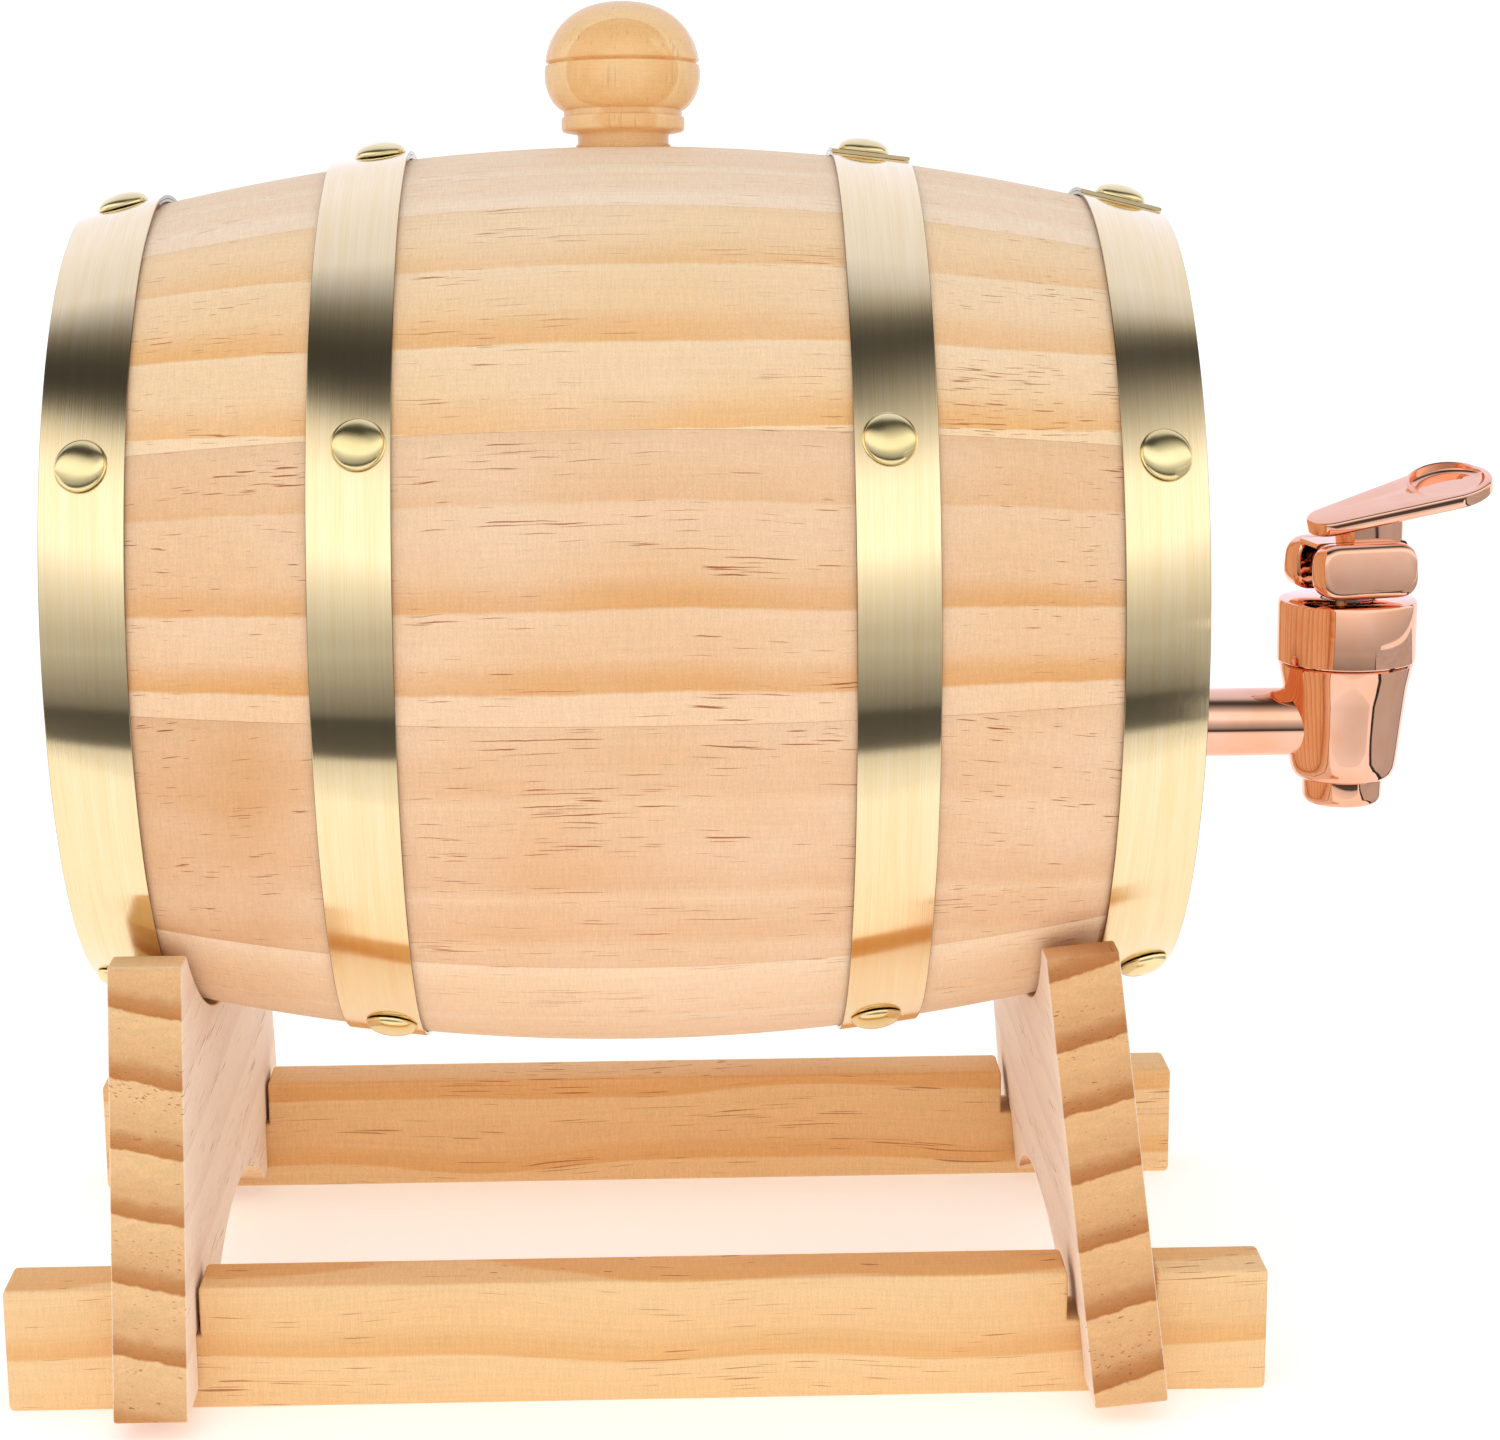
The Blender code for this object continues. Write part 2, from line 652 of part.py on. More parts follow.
def rounded_bar(name, x_ends, z_ends, half_width, rounding):
    """A bar whose side view is a rounded rectangle, for the lever's fork."""
    bar = box(name, (x_ends[0], -half_width, z_ends[0]), (x_ends[1], half_width, z_ends[1]), LEVER)
    bm = bmesh.new()
    bm.from_mesh(bar.data)
    across = [e for e in bm.edges if abs(e.verts[0].co.y - e.verts[1].co.y) > half_width]
    bmesh.ops.bevel(bm, geom=across, offset=rounding, segments=4, profile=0.5, affect="EDGES")
    bm.to_mesh(bar.data)
    bm.free()
    return bar


def paddle_outline(steps=10):
    """The plate's plan: a small heel circle and a large thumb circle, joined by their tangents."""
    heel_x, heel_r = PLATE_HEEL
    thumb_x, thumb_r = PLATE_THUMB
    lean = math.asin((thumb_r - heel_r) / (thumb_x - heel_x))
    edge = math.pi / 2 + lean
    points = []
    for i in range(steps + 1):
        angle = -edge + 2 * edge * i / steps
        points.append((thumb_x + thumb_r * math.cos(angle), thumb_r * math.sin(angle)))
    for i in range(steps + 1):
        angle = edge + (math.tau - 2 * edge) * i / steps
        points.append((heel_x + heel_r * math.cos(angle), heel_r * math.sin(angle)))
    return points


def flat_outline(name, points, thickness, parent, material=None):
    """A plate of even thickness from a flat outline in local XY, centred on Z = 0."""
    curve = bpy.data.curves.new(name, "CURVE")
    curve.dimensions = "2D"
    curve.fill_mode = "BOTH"
    curve.extrude = thickness / 2
    spline = curve.splines.new("POLY")
    spline.points.add(len(points) - 1)
    for point, (x, y) in zip(spline.points, points):
        point.co = (x, y, 0, 1)
    spline.use_cyclic_u = True
    source = bpy.data.objects.new(name + "_outline", curve)
    CUTTERS.objects.link(source)
    bpy.context.view_layer.update()
    graph = bpy.context.evaluated_depsgraph_get()
    bm = bmesh.new()
    bm.from_mesh(bpy.data.meshes.new_from_object(source.evaluated_get(graph)))
    bmesh.ops.remove_doubles(bm, verts=bm.verts, dist=0.001 * MM)
    bpy.data.objects.remove(source, do_unlink=True)
    return add_mesh(name, finish_bmesh(name, bm), parent, material)


def make_lever():
    """The lever casting, and the cross pin that it turns on."""
    fork = rounded_bar("tap_lever", FORK_X, FORK_HEIGHT, FORK_HALF_WIDTH, FORK_ROUND)
    CUTTERS.objects.unlink(fork)
    PARTS.objects.link(fork)
    fork.hide_render = False
    fork.display_type = "TEXTURED"
    fork.data.materials.append(MATERIALS["tap"])
    slot = box(
        "fork_slot",
        (-0.02, -FORK_SLOT_HALF, -0.02),
        (6.4 * MM, FORK_SLOT_HALF, 4.0 * MM),
        LEVER,
    )
    neck = box("neck", (-1.4 * MM, -4.6 * MM, 4.3 * MM), (10.0 * MM, 4.6 * MM, 12.6 * MM), LEVER)
    top_cut = box("neck_top_cut", (-0.05, -0.05, 0.0), (0.05, 0.05, 0.05), LEVER)
    plate = flat_outline("paddle", paddle_outline(), PLATE_THICKNESS, LEVER)
    dish = cylinder(
        "dish",
        DISH_RADIUS,
        (PLATE_THUMB[0], 0, PLATE_THICKNESS / 2 - DISH_DEPTH),
        (PLATE_THUMB[0], 0, CUT_PAST),
        LEVER,
    )
    tilt = Matrix.Rotation(math.radians(PLATE_RISE_DEG), 4, (0, -1, 0))
    twist = Matrix.Rotation(math.radians(PLATE_TWIST_DEG), 4, (1, 0, 0))
    seat = Matrix.Translation((0, 0, 9.6 * MM)) @ tilt @ twist
    for piece in (plate, dish, top_cut):
        piece.matrix_local = seat
    pin_hole = cylinder(
        "fork_pin_hole",
        PIN_RADIUS + FIT,
        (0, -7.6 * MM, 0),
        (0, FORK_HALF_WIDTH + CUT_PAST, 0),
        LEVER,
        steps=16,
    )
    boolean(fork, "DIFFERENCE", slot)
    boolean(neck, "DIFFERENCE", top_cut)
    boolean(fork, "UNION", neck, plate)
    boolean(fork, "DIFFERENCE", dish, pin_hole)
    pin_ends = ((0, -7.3 * MM, 0), (0, FORK_HALF_WIDTH - 0.2 * MM, 0))
    cylinder("lever_pin", PIN_RADIUS, *pin_ends, LEVER, "steel", steps=16)


def make_shank_fittings():
    """The washers each side of the head, and the hexagonal backing nut inside the barrel."""
    washers = (
        ("shank_washer_outer", HEAD_OUTER_X + FIT, 1.8 * MM),
        ("shank_washer_inner", HEAD_INNER_X - FIT - 1.8 * MM, 1.8 * MM),
    )
    ring = SHANK_RADIUS + FIT
    for name, x, thickness in washers:
        outline = [(ring, thickness), (9.8 * MM, thickness), (9.8 * MM, 0), (ring, 0)]
        washer = turned(name, outline, TAP, "silicone", 24, closed=True)
        washer.matrix_local = Matrix.Translation((x - TAP_X, 0, SHANK_Z)) @ Matrix.Rotation(
            math.pi / 2, 4, "Y"
        )
    nut_x = HEAD_INNER_X - 2 * FIT - 1.8 * MM - TAP_X
    nut = cylinder(
        "backing_nut", 11.0 * MM, (nut_x - 5 * MM, 0, SHANK_Z), (nut_x, 0, SHANK_Z), TAP, "steel", steps=6
    )
    hole = cylinder("nut_hole", ring, (nut_x - 0.01, 0, SHANK_Z), (nut_x + CUT_PAST, 0, SHANK_Z), TAP)
    boolean(nut, "DIFFERENCE", hole)


def make_rails():
    """Two rails with square edges, each notched on top for the two boards."""
    half = RAIL_LENGTH / 2
    for name, side in (("rail_front", -1), ("rail_rear", 1)):
        y_low, y_high = sorted((side * RAIL_OUTER_Y, side * (RAIL_OUTER_Y - RAIL_THICKNESS)))
        rail = box(name, (-half, y_low, 0), (half, y_high, RAIL_HEIGHT), FRAME, "stand", RAIL_EDGE)
        for label, ends in (("left", LEFT_NOTCH_X), ("right", RIGHT_NOTCH_X)):
            notch = box(
                name + "_notch_" + label,
                (ends[0], y_low - CUT_PAST, NOTCH_FLOOR_Z),
                (ends[1], y_high + CUT_PAST, RAIL_HEIGHT + CUT_PAST),
                FRAME,
            )
            boolean(rail, "DIFFERENCE", notch)


def arc(centre_z, radius, start_y, end_y, steps, side):
    """Points (y, z) along a circle centred on Y = 0. side is -1 for its lower half, 1 for its upper."""
    points = []
    for i in range(steps + 1):
        y = start_y + (end_y - start_y) * i / steps
        points.append((y, centre_z + side * math.sqrt(radius**2 - y**2)))
    return points


def board_outline(slot_top):
    """The cradle board seen along X: tapered ends, a round cradle, an arched foot and two slots."""
    cradle_z = CRADLE_BOTTOM_Z + CRADLE_RADIUS
    tip_y = math.sqrt(CRADLE_RADIUS**2 - (cradle_z - BOARD_TIP_Z) ** 2)
    arch_z = ARCH_TOP_Z - ARCH_RADIUS
    arch_y = math.sqrt(ARCH_RADIUS**2 - (BOARD_FOOT_Z - arch_z) ** 2)
    slot_outer = RAIL_OUTER_Y + FIT
    slot_inner = RAIL_OUTER_Y - RAIL_THICKNESS - FIT
    foot = [
        (slot_inner, BOARD_FOOT_Z),
        (slot_inner, slot_top),
        (slot_outer, slot_top),
        (slot_outer, BOARD_FOOT_Z),
        (BOARD_FOOT_Y, BOARD_FOOT_Z),
        (BOARD_TIP_Y, BOARD_TIP_Z),
    ]
    mirrored = [(-y, z) for y, z in reversed(foot)]
    cradle = arc(cradle_z, CRADLE_RADIUS, tip_y, -tip_y, 20, -1)
    arch = arc(arch_z, ARCH_RADIUS, -arch_y, arch_y, 10, 1)
    return arch + foot + cradle + mirrored


def make_boards():
    """The upright left board, and the right one, which leans inwards in its loose notches."""
    upright = Matrix.Rotation(math.pi / 2, 4, "Z") @ Matrix.Rotation(math.pi / 2, 4, "X")
    places = (("left", LEFT_BOARD_X, 0.0), ("right", RIGHT_BOARD_X, RIGHT_BOARD_LEAN_DEG))
    for side, x, lean_deg in places:
        lean = math.radians(lean_deg)
        slot_top = NOTCH_FLOOR_Z + FIT + math.sin(lean) * BOARD_THICKNESS / 2
        board = flat_outline(
            "cradle_board_" + side, board_outline(slot_top), BOARD_THICKNESS, FRAME, "stand"
        )
        tilt = Matrix.Rotation(lean, 4, (0, -1, 0))
        board.matrix_local = Matrix.Translation((x, 0, 0)) @ tilt @ upright


def main():
    make_rails()
    make_boards()
    make_staves(make_hoops_and_nails())
    make_heads()
    make_bung()
    make_tap_body()
    make_spout()
    make_shank()
    make_bonnet()
    make_stem_parts()
    make_lever()
    make_shank_fittings()


main()
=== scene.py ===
"""The looks of a small pine wine barrel on a cradle stand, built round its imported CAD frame.

Outlines and tables are in millimetres and degrees, and become metres once a mesh is made. Only the
studio at the end is in metres. The barrel's axis runs along X. Angles round it are measured from the
front (-Y) up towards +Z.
"""

import math
import random
from typing import NamedTuple

import bmesh
import bpy
from mathutils import Matrix, Vector


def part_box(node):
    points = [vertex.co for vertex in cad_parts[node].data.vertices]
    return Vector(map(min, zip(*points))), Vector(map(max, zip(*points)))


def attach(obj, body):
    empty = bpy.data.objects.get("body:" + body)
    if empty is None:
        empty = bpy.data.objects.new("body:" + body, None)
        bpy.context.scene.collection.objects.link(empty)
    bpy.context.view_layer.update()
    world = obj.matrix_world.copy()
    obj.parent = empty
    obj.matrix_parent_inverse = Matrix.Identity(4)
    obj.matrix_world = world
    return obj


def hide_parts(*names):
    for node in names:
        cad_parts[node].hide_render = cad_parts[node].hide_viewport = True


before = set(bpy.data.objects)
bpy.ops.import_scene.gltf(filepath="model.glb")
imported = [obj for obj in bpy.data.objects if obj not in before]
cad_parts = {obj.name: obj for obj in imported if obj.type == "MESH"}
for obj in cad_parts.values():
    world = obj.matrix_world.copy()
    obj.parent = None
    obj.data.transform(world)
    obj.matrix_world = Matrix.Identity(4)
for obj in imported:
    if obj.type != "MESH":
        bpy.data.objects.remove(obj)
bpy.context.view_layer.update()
MM = 0.001


def middle_of(node):
    low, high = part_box(node)
    return (low + high) / 2


# Places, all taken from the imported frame.
HEAD_LEFT = middle_of("head_left_middle")
HEAD_RIGHT = middle_of("head_right_middle")
AXIS = (HEAD_LEFT + HEAD_RIGHT) / 2
TAP = middle_of("tap_bonnet")
SHANK_Z = middle_of("tap_shank").z
PIN_POINT = Vector((TAP.x, TAP.y, middle_of("lever_pin").z))

# Turns for shapes that are made flat. SIDEWAYS turns their Z to the front and ALONG turns it along the
# barrel. FACING_ALONG does that too, and makes an outline's (x, y) the object's (y, z).
SIDEWAYS = Matrix.Rotation(math.pi / 2, 4, "X")
ALONG = Matrix.Rotation(math.pi / 2, 4, "Y")
FACING_ALONG = Matrix(((0, 0, 1, 0), (1, 0, 0, 0), (0, 1, 0, 0), (0, 0, 0, 1)))

# The barrel's wood.
BULGE_RADIUS = 85.0
BULGE_DROP = 0.001338
STAVE_END = 100.4
STAVE_THICKNESS = 10.0
STAVE_WIDTHS = (36.2, 34.4, 35.2, 49.8) + (34.0667,) * 6
FIRST_JOINT = -41.5
STAVE_STEP = 3.0
JOINT_GAP = 0.015
JOINT_EASE = 0.16
CROZE_X = (86.2, 93.3)
HEAD_X = (86.5, 93.0)
HEAD_SPLIT = 23.0
SHANK_HOLE = 6.95
BUNG_STAVE = 4
BUNG_ANGLE = 96.5
BUNG_HOLE = 8.9

# The hoops as (left edge, right edge) and the place of their nails along the barrel.
HOOPS = {
    "left_outer": (-100.8, -85.5),
    "left_inner": (-54.2, -39.6),
    "right_inner": (38.8, 53.4),
    "right_outer": (85.5, 100.8),
}
NAIL_X = {"left_outer": -93.3, "left_inner": -45.2, "right_inner": 44.9, "right_outer": 93.3}
HOOP_GAP = 0.2
HOOP_THICKNESS = 0.7
HOOP_OVERLAP = 24.0
# Where each strip's tip is, and which way the strip runs from it.
HOOP_TIPS = {"left": (108.0, -1.0), "right": (88.0, 1.0)}
DOME = 2.3
NAIL_ANGLES = (90.0, 28.0, -61.0, 200.0)
LAP_ANGLE = 90.0
LOW_NAIL_SHIFT = 2.0

# The tap's lever.
SWIVEL = math.radians(12.8)
PADDLE_TILT = math.radians(13.0)
PADDLE_TWIST = math.radians(10.0)
PADDLE_HEIGHT = 9.6
THUMB_X = 20.6
CHEEK_DRAFT = 0.14

# The stand.
NOTCHES = ((-94.3, -79.7), (78.3, 94.6))
NOTCH_FLOOR = 14.0
BOARD_THICKNESS = 13.3
RIGHT_LEAN = math.radians(5.6)


# ---------------------------------------------------------------- meshes


def move_mm(x, y, z):
    return Matrix.Translation((x * MM, y * MM, z * MM))


def fillet(points, radii, steps=4):
    """A closed outline with each corner rounded. radii is one number, or one for each corner."""
    count = len(points)
    radii = [radii] * count if isinstance(radii, (int, float)) else radii
    out = []
    for i, radius in enumerate(radii):
        here = Vector(points[i])
        before = Vector(points[i - 1]) - here
        after = Vector(points[(i + 1) % count]) - here
        bend = math.pi - before.angle(after, math.pi)
        reach = min(radius * math.tan(bend / 2), before.length * 0.49, after.length * 0.49)
        if radius <= 0 or bend < 0.02 or reach <= 0:
            out.append(tuple(here))
            continue
        start = here + before.normalized() * reach
        end = here + after.normalized() * reach
        for k in range(steps + 1):
            t = k / steps
            out.append(tuple((1 - t) ** 2 * start + 2 * t * (1 - t) * here + t * t * end))
    return out


def inset(outline, distance):
    """The outline with every point moved in along its corner's bisector. It runs anticlockwise."""
    count = len(outline)
    moved = []
    for i in range(count):
        here = Vector(outline[i])
        before = (here - Vector(outline[i - 1])).normalized()
        after = (Vector(outline[(i + 1) % count]) - here).normalized()
        inward = Vector((-before.y - after.y, before.x + after.x)) / 2
        moved.append(here + inward * distance / max(inward.length_squared, 0.3))
    return moved


def shade(mesh, smooth_below=32.0):
    """Shades the mesh smooth, apart from edges sharper than an angle."""
    mesh.shade_smooth()
    mesh.set_sharp_from_angle(angle=math.radians(smooth_below))


def finish_mesh(name, bm, material):
    """The bmesh as an object whose soft edges are shaded smooth."""
    bmesh.ops.recalc_face_normals(bm, faces=bm.faces)
    mesh = bpy.data.meshes.new(name)
    bm.to_mesh(mesh)
    bm.free()
    shade(mesh)
    obj = bpy.data.objects.new(name, mesh)
    bpy.context.scene.collection.objects.link(obj)
    mesh.materials.append(material)
    return obj


def flat_card(name, corners, height, material):
    """One level polygon, in metres."""
    bm = bmesh.new()
    bm.faces.new([bm.verts.new((x, y, height)) for x, y in corners])
    return finish_mesh(name, bm, material)


def stitch(bm, rings, closed_run=False):
    """Quads between neighbouring closed rings of vertices."""
    pairs = list(zip(rings, rings[1:]))
    if closed_run:
        pairs.append((rings[-1], rings[0]))
    for a, b in pairs:
        for i in range(len(a)):
            j = (i + 1) % len(a)
            corners = []
            for vert in (a[i], a[j], b[j], b[i]):
                if vert not in corners:
                    corners.append(vert)
            if len(corners) > 2:
                bm.faces.new(corners)


def close_ends(bm, rings):
    bm.faces.new(rings[0])
    bm.faces.new(rings[-1])


def polar(radius, angle, height):
    """A point in metres from a radius and height in millimetres."""
    return (radius * MM * math.cos(angle), radius * MM * math.sin(angle), height * MM)


def lathe(name, outline, place, material, segments=96, closed=False):
    """A turned solid about local Z from (radius, height) points."""
    bm = bmesh.new()
    rings = []
    for radius, height in outline:
        if radius < 1e-6:
            rings.append([bm.verts.new((0, 0, height * MM))] * segments)
            continue
        angles = [math.tau * i / segments for i in range(segments)]
        rings.append([bm.verts.new(polar(radius, angle, height)) for angle in angles])
    stitch(bm, rings, closed)
    bmesh.ops.transform(bm, matrix=place, verts=bm.verts)
    return finish_mesh(name, bm, material)


def prism(name, outline, thickness, edge, place, material, edge_steps=3):
    """An even plate from an outline in local XY, centred on Z = 0, with its rims rounded."""
    area = sum(a[0] * b[1] - a[1] * b[0] for a, b in zip(outline, outline[1:] + outline[:1]))
    outline = outline if area > 0 else outline[::-1]
    levels = []
    for k in range(edge_steps + 1):
        turn = 0.5 * math.pi * k / edge_steps
        levels.append((edge * (1 - math.sin(turn)), edge * (1 - math.cos(turn))))
    bm = bmesh.new()
    rings = []
    for side in (-1, 1):
        for into, drop in levels if side < 0 else levels[::-1]:
            height = side * (thickness / 2 - drop)
            rings.append([bm.verts.new((x * MM, y * MM, height * MM)) for x, y in inset(outline, into)])
    stitch(bm, rings)
    close_ends(bm, rings)
    bmesh.ops.transform(bm, matrix=place, verts=bm.verts)
    return finish_mesh(name, bm, material)


def cut(obj, cutter):
    """Takes the cutter out of the object, and removes the cutter."""
    modifier = obj.modifiers.new("cut", "BOOLEAN")
    modifier.operation = "DIFFERENCE"
    modifier.solver = "EXACT"
    modifier.object = cutter
    bpy.context.view_layer.update()
    graph = bpy.context.evaluated_depsgraph_get()
    mesh = bpy.data.meshes.new_from_object(obj.evaluated_get(graph))
    obj.modifiers.clear()
    obj.data = mesh
    shade(mesh)
    bpy.data.objects.remove(cutter, do_unlink=True)


def join(name, pieces):
    """Several meshes as one object."""
    bm = bmesh.new()
    material = pieces[0].data.materials[0]
    for piece in pieces:
        bm.from_mesh(piece.data)
        bpy.data.objects.remove(piece, do_unlink=True)
    return finish_mesh(name, bm, material)


def install(obj, body, slot, *nodes):
    """The piece rides on its body and stands for its CAD nodes."""
    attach(obj, body)
    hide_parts(*nodes)


def barrel_point(x, radius, degrees):
    """A point in metres from its place along the barrel, radius and angle."""
    angle = math.radians(degrees)
    return AXIS + Vector((x, -radius * math.cos(angle), radius * math.sin(angle))) * MM


def wood_radius(x):
    return BULGE_RADIUS - BULGE_DROP * x * x


def sweep(name, profile_at, angles, material):
    """A solid round the barrel's axis. profile_at(i) gives the closed (x, radius) profile there."""
    bm = bmesh.new()
    rings = []
    for i, angle in enumerate(angles):
        rings.append([bm.verts.new(barrel_point(x, radius, angle)) for x, radius in profile_at(i)])
    stitch(bm, rings)
    close_ends(bm, rings)
    return finish_mesh(name, bm, material)


# ---------------------------------------------------------------- materials


class Tree:
    """A short way to write node trees."""

    def __init__(self, owner):
        owner.use_nodes = True
        self.tree = owner.node_tree
        self.tree.nodes.clear()

    def node(self, kind, inputs=None, **settings):
        made = self.tree.nodes.new(kind)
        for name, value in settings.items():
            setattr(made, name, value)
        for name, value in (inputs or {}).items():
            if isinstance(value, bpy.types.NodeSocket):
                self.tree.links.new(value, made.inputs[name])
            else:
                made.inputs[name].default_value = value
        return made

    def math(self, operation, *values):
        return self.node("ShaderNodeMath", dict(enumerate(values)), operation=operation).outputs[0]

    def plus(self, a, b):
        return self.math("ADD", a, b)

    def times(self, a, b):
        return self.math("MULTIPLY", a, b)

    def swing(self, value, strength):
        """Noise, which averages a half, as a swing about zero."""
        return self.times(self.math("SUBTRACT", value, 0.5), strength)

    def spread(self, value, low, high, to_low=0.0, to_high=1.0):
        """A clamped linear map."""
        inputs = {0: value, 1: low, 2: high, 3: to_low, 4: to_high}
        return self.node("ShaderNodeMapRange", inputs).outputs[0]

    def vector(self, x, y, z):
        return self.node("ShaderNodeCombineXYZ", {0: x, 1: y, 2: z}).outputs[0]

    def split(self, vector):
        return self.node("ShaderNodeSeparateXYZ", {0: vector}).outputs

    def noise(self, place, stretch=(1, 1, 1), scale=1.0, detail=2.0, roughness=0.5):
        """Noise at a place (x, y, z), drawn out along the axes whose stretch is below 1."""
        parts = [part if by == 1 else self.times(part, by) for part, by in zip(place, stretch)]
        inputs = {"Vector": self.vector(*parts), "Scale": scale, "Detail": detail, "Roughness": roughness}
        return self.node("ShaderNodeTexNoise", inputs).outputs[0]

    def mix(self, factor, a, b, blend="MIX"):
        made = self.node("ShaderNodeMix", {0: factor, 6: a, 7: b}, data_type="RGBA", blend_type=blend)
        return made.outputs[2]

    def ramp(self, factor, stops):
        """A colour ramp from (position, grey or colour) stops."""
        made = self.node("ShaderNodeValToRGB", {0: factor})
        elements = made.color_ramp.elements
        while len(elements) > 1:
            elements.remove(elements[-1])
        for i, (position, colour) in enumerate(stops):
            colour = colour if isinstance(colour, tuple) else (colour, colour, colour, 1)
            element = elements[0] if i == 0 else elements.new(position)
            element.position = position
            element.color = colour
        return made.outputs[0]

    def bump(self, height, strength, distance):
        inputs = {"Height": height, "Strength": strength, "Distance": distance}
        return self.node("ShaderNodeBump", inputs).outputs[0]

    def facing(self):
        """The surface's own direction, split into X, Y and Z."""
        return self.split(self.node("ShaderNodeNewGeometry").outputs["Normal"])

    def finish(self, inputs, shader="ShaderNodeBsdfPrincipled"):
        made = self.node(shader, inputs)
        self.node("ShaderNodeOutputMaterial", {0: made.outputs[0]})


def new_material(name):
    material = bpy.data.materials.new(name)
    return material, Tree(material)


def srgb(text):
    """A linear RGBA colour from a hex code."""
    out = []
    for i in (0, 2, 4):
        c = int(text[i : i + 2], 16) / 255
        out.append(c / 12.92 if c < 0.04045 else ((c + 0.055) / 1.055) ** 2.4)
    return (*out, 1.0)


def millimetres(tree, origin=None):
    """X, Y and Z in millimetres, from the piece's own coordinates."""
    coordinates = tree.node("ShaderNodeTexCoord").outputs["Object"]
    origin = origin or Vector((0, 0, 0))
    moved = tree.node("ShaderNodeVectorMath", {0: coordinates, 1: -origin}, operation="ADD").outputs[0]
    scaled = tree.node("ShaderNodeVectorMath", {0: moved, "Scale": 1000.0}, operation="SCALE").outputs[0]
    return tuple(tree.split(scaled))


def barrel_space(tree):
    """Millimetres along the barrel, the angle round it in radians and millimetres from its axis."""
    x, y, z = millimetres(tree, AXIS)
    angle = tree.math("ARCTAN2", z, tree.times(y, -1.0))
    radius = tree.math("SQRT", tree.plus(tree.times(y, y), tree.times(z, z)))
    return x, angle, radius


class StaveLook(NamedTuple):
    """A stave's wood. Its rings, from the lowest up, are (edge angle, degrees of ripening, strength).

    bow curves the rings, blur softens their edges and end_tint darkens the wood's left end.
    """

    rings: tuple
    pale: str
    ripe: str
    bow: float
    ticks: float
    blur: float = 0.006
    end_tint: float = 0.0


class PlankLook(NamedTuple):
    """A plank's wood. Its fibres run along the grain's axis, and its flat rings repeat every period.

    slope tilts the rings, wave bends them and end_tone darkens the end grain.
    """

    grain: str
    period: float
    pale: str
    ripe: str
    slope: float
    wave: float
    ticks: float
    end_tone: float = 0.0


BARE_WOOD = {"Roughness": 0.62, "Specular IOR Level": 0.25}
FIBRE, SPECKLE, SANDING = 0.15, 0.34, 0.2
RESIN = "9c4816"


def finish_wood(tree, surface, place, colour, ticks, contrast, seed):
    """Adds fibres, speckle, sanding marks and resin ticks to a base colour, and the surface.

    The place is along the fibres, across them and into the wood.
    """
    along, across, depth = place
    place = (tree.plus(along, seed * 37.0), across, depth)
    fibre = tree.noise(place, (0.035, 1, 1), 1.5, 3.0)
    speckle = tree.noise(place, scale=3.2, roughness=0.7)
    sanding = tree.noise(place, (1, 0.07, 0.07), 3.4)
    value = 1.0
    for marks, strength in ((fibre, FIBRE), (speckle, SPECKLE), (sanding, SANDING)):
        value = tree.plus(value, tree.swing(marks, strength * contrast))
    colour = tree.mix(1.0, colour, tree.vector(value, value, value), "MULTIPLY")
    streak = tree.noise(place, (0.085, 3.7, 1), detail=0.0)
    patch = tree.noise((place[0], across, seed), (0.02, 0.12, 1), detail=1.0)
    where = tree.plus(streak, tree.swing(patch, 0.45))
    mark = tree.times(tree.spread(where, 0.765, 0.83), 0.85 * ticks)
    colour = tree.mix(mark, colour, srgb(RESIN))
    height = tree.plus(tree.times(fibre, 0.7), tree.times(sanding, 0.3))
    height = tree.math("SUBTRACT", height, tree.times(mark, 0.6))
    tree.finish({"Base Color": colour, "Normal": tree.bump(height, 0.12, 0.0003), **surface})


def ring_stops(look, start, width):
    """Ramp stops up the stave's width. The tone jumps at each ring's edge and fades above it."""
    stops = [(0.0, 0.2)]
    ends = [(edge - start) / width for edge, *_ in look.rings[1:]] + [1.0]
    for (edge, ripening, strength), end in zip(look.rings, ends):
        at = (edge - start) / width
        reach = ripening / width
        below, above = at - look.blur, at + look.blur
        stops += [(max(below, 0.001), 0.1), (max(above, 0.002), strength)]
        stops += [(above + reach * 0.5, strength * 0.8), (above + reach, 0.35)]
        stops.append((min(above + reach * 2.0, end - look.blur - 0.01), 0.2))
    return [(min(place, 0.999), value) for place, value in stops]


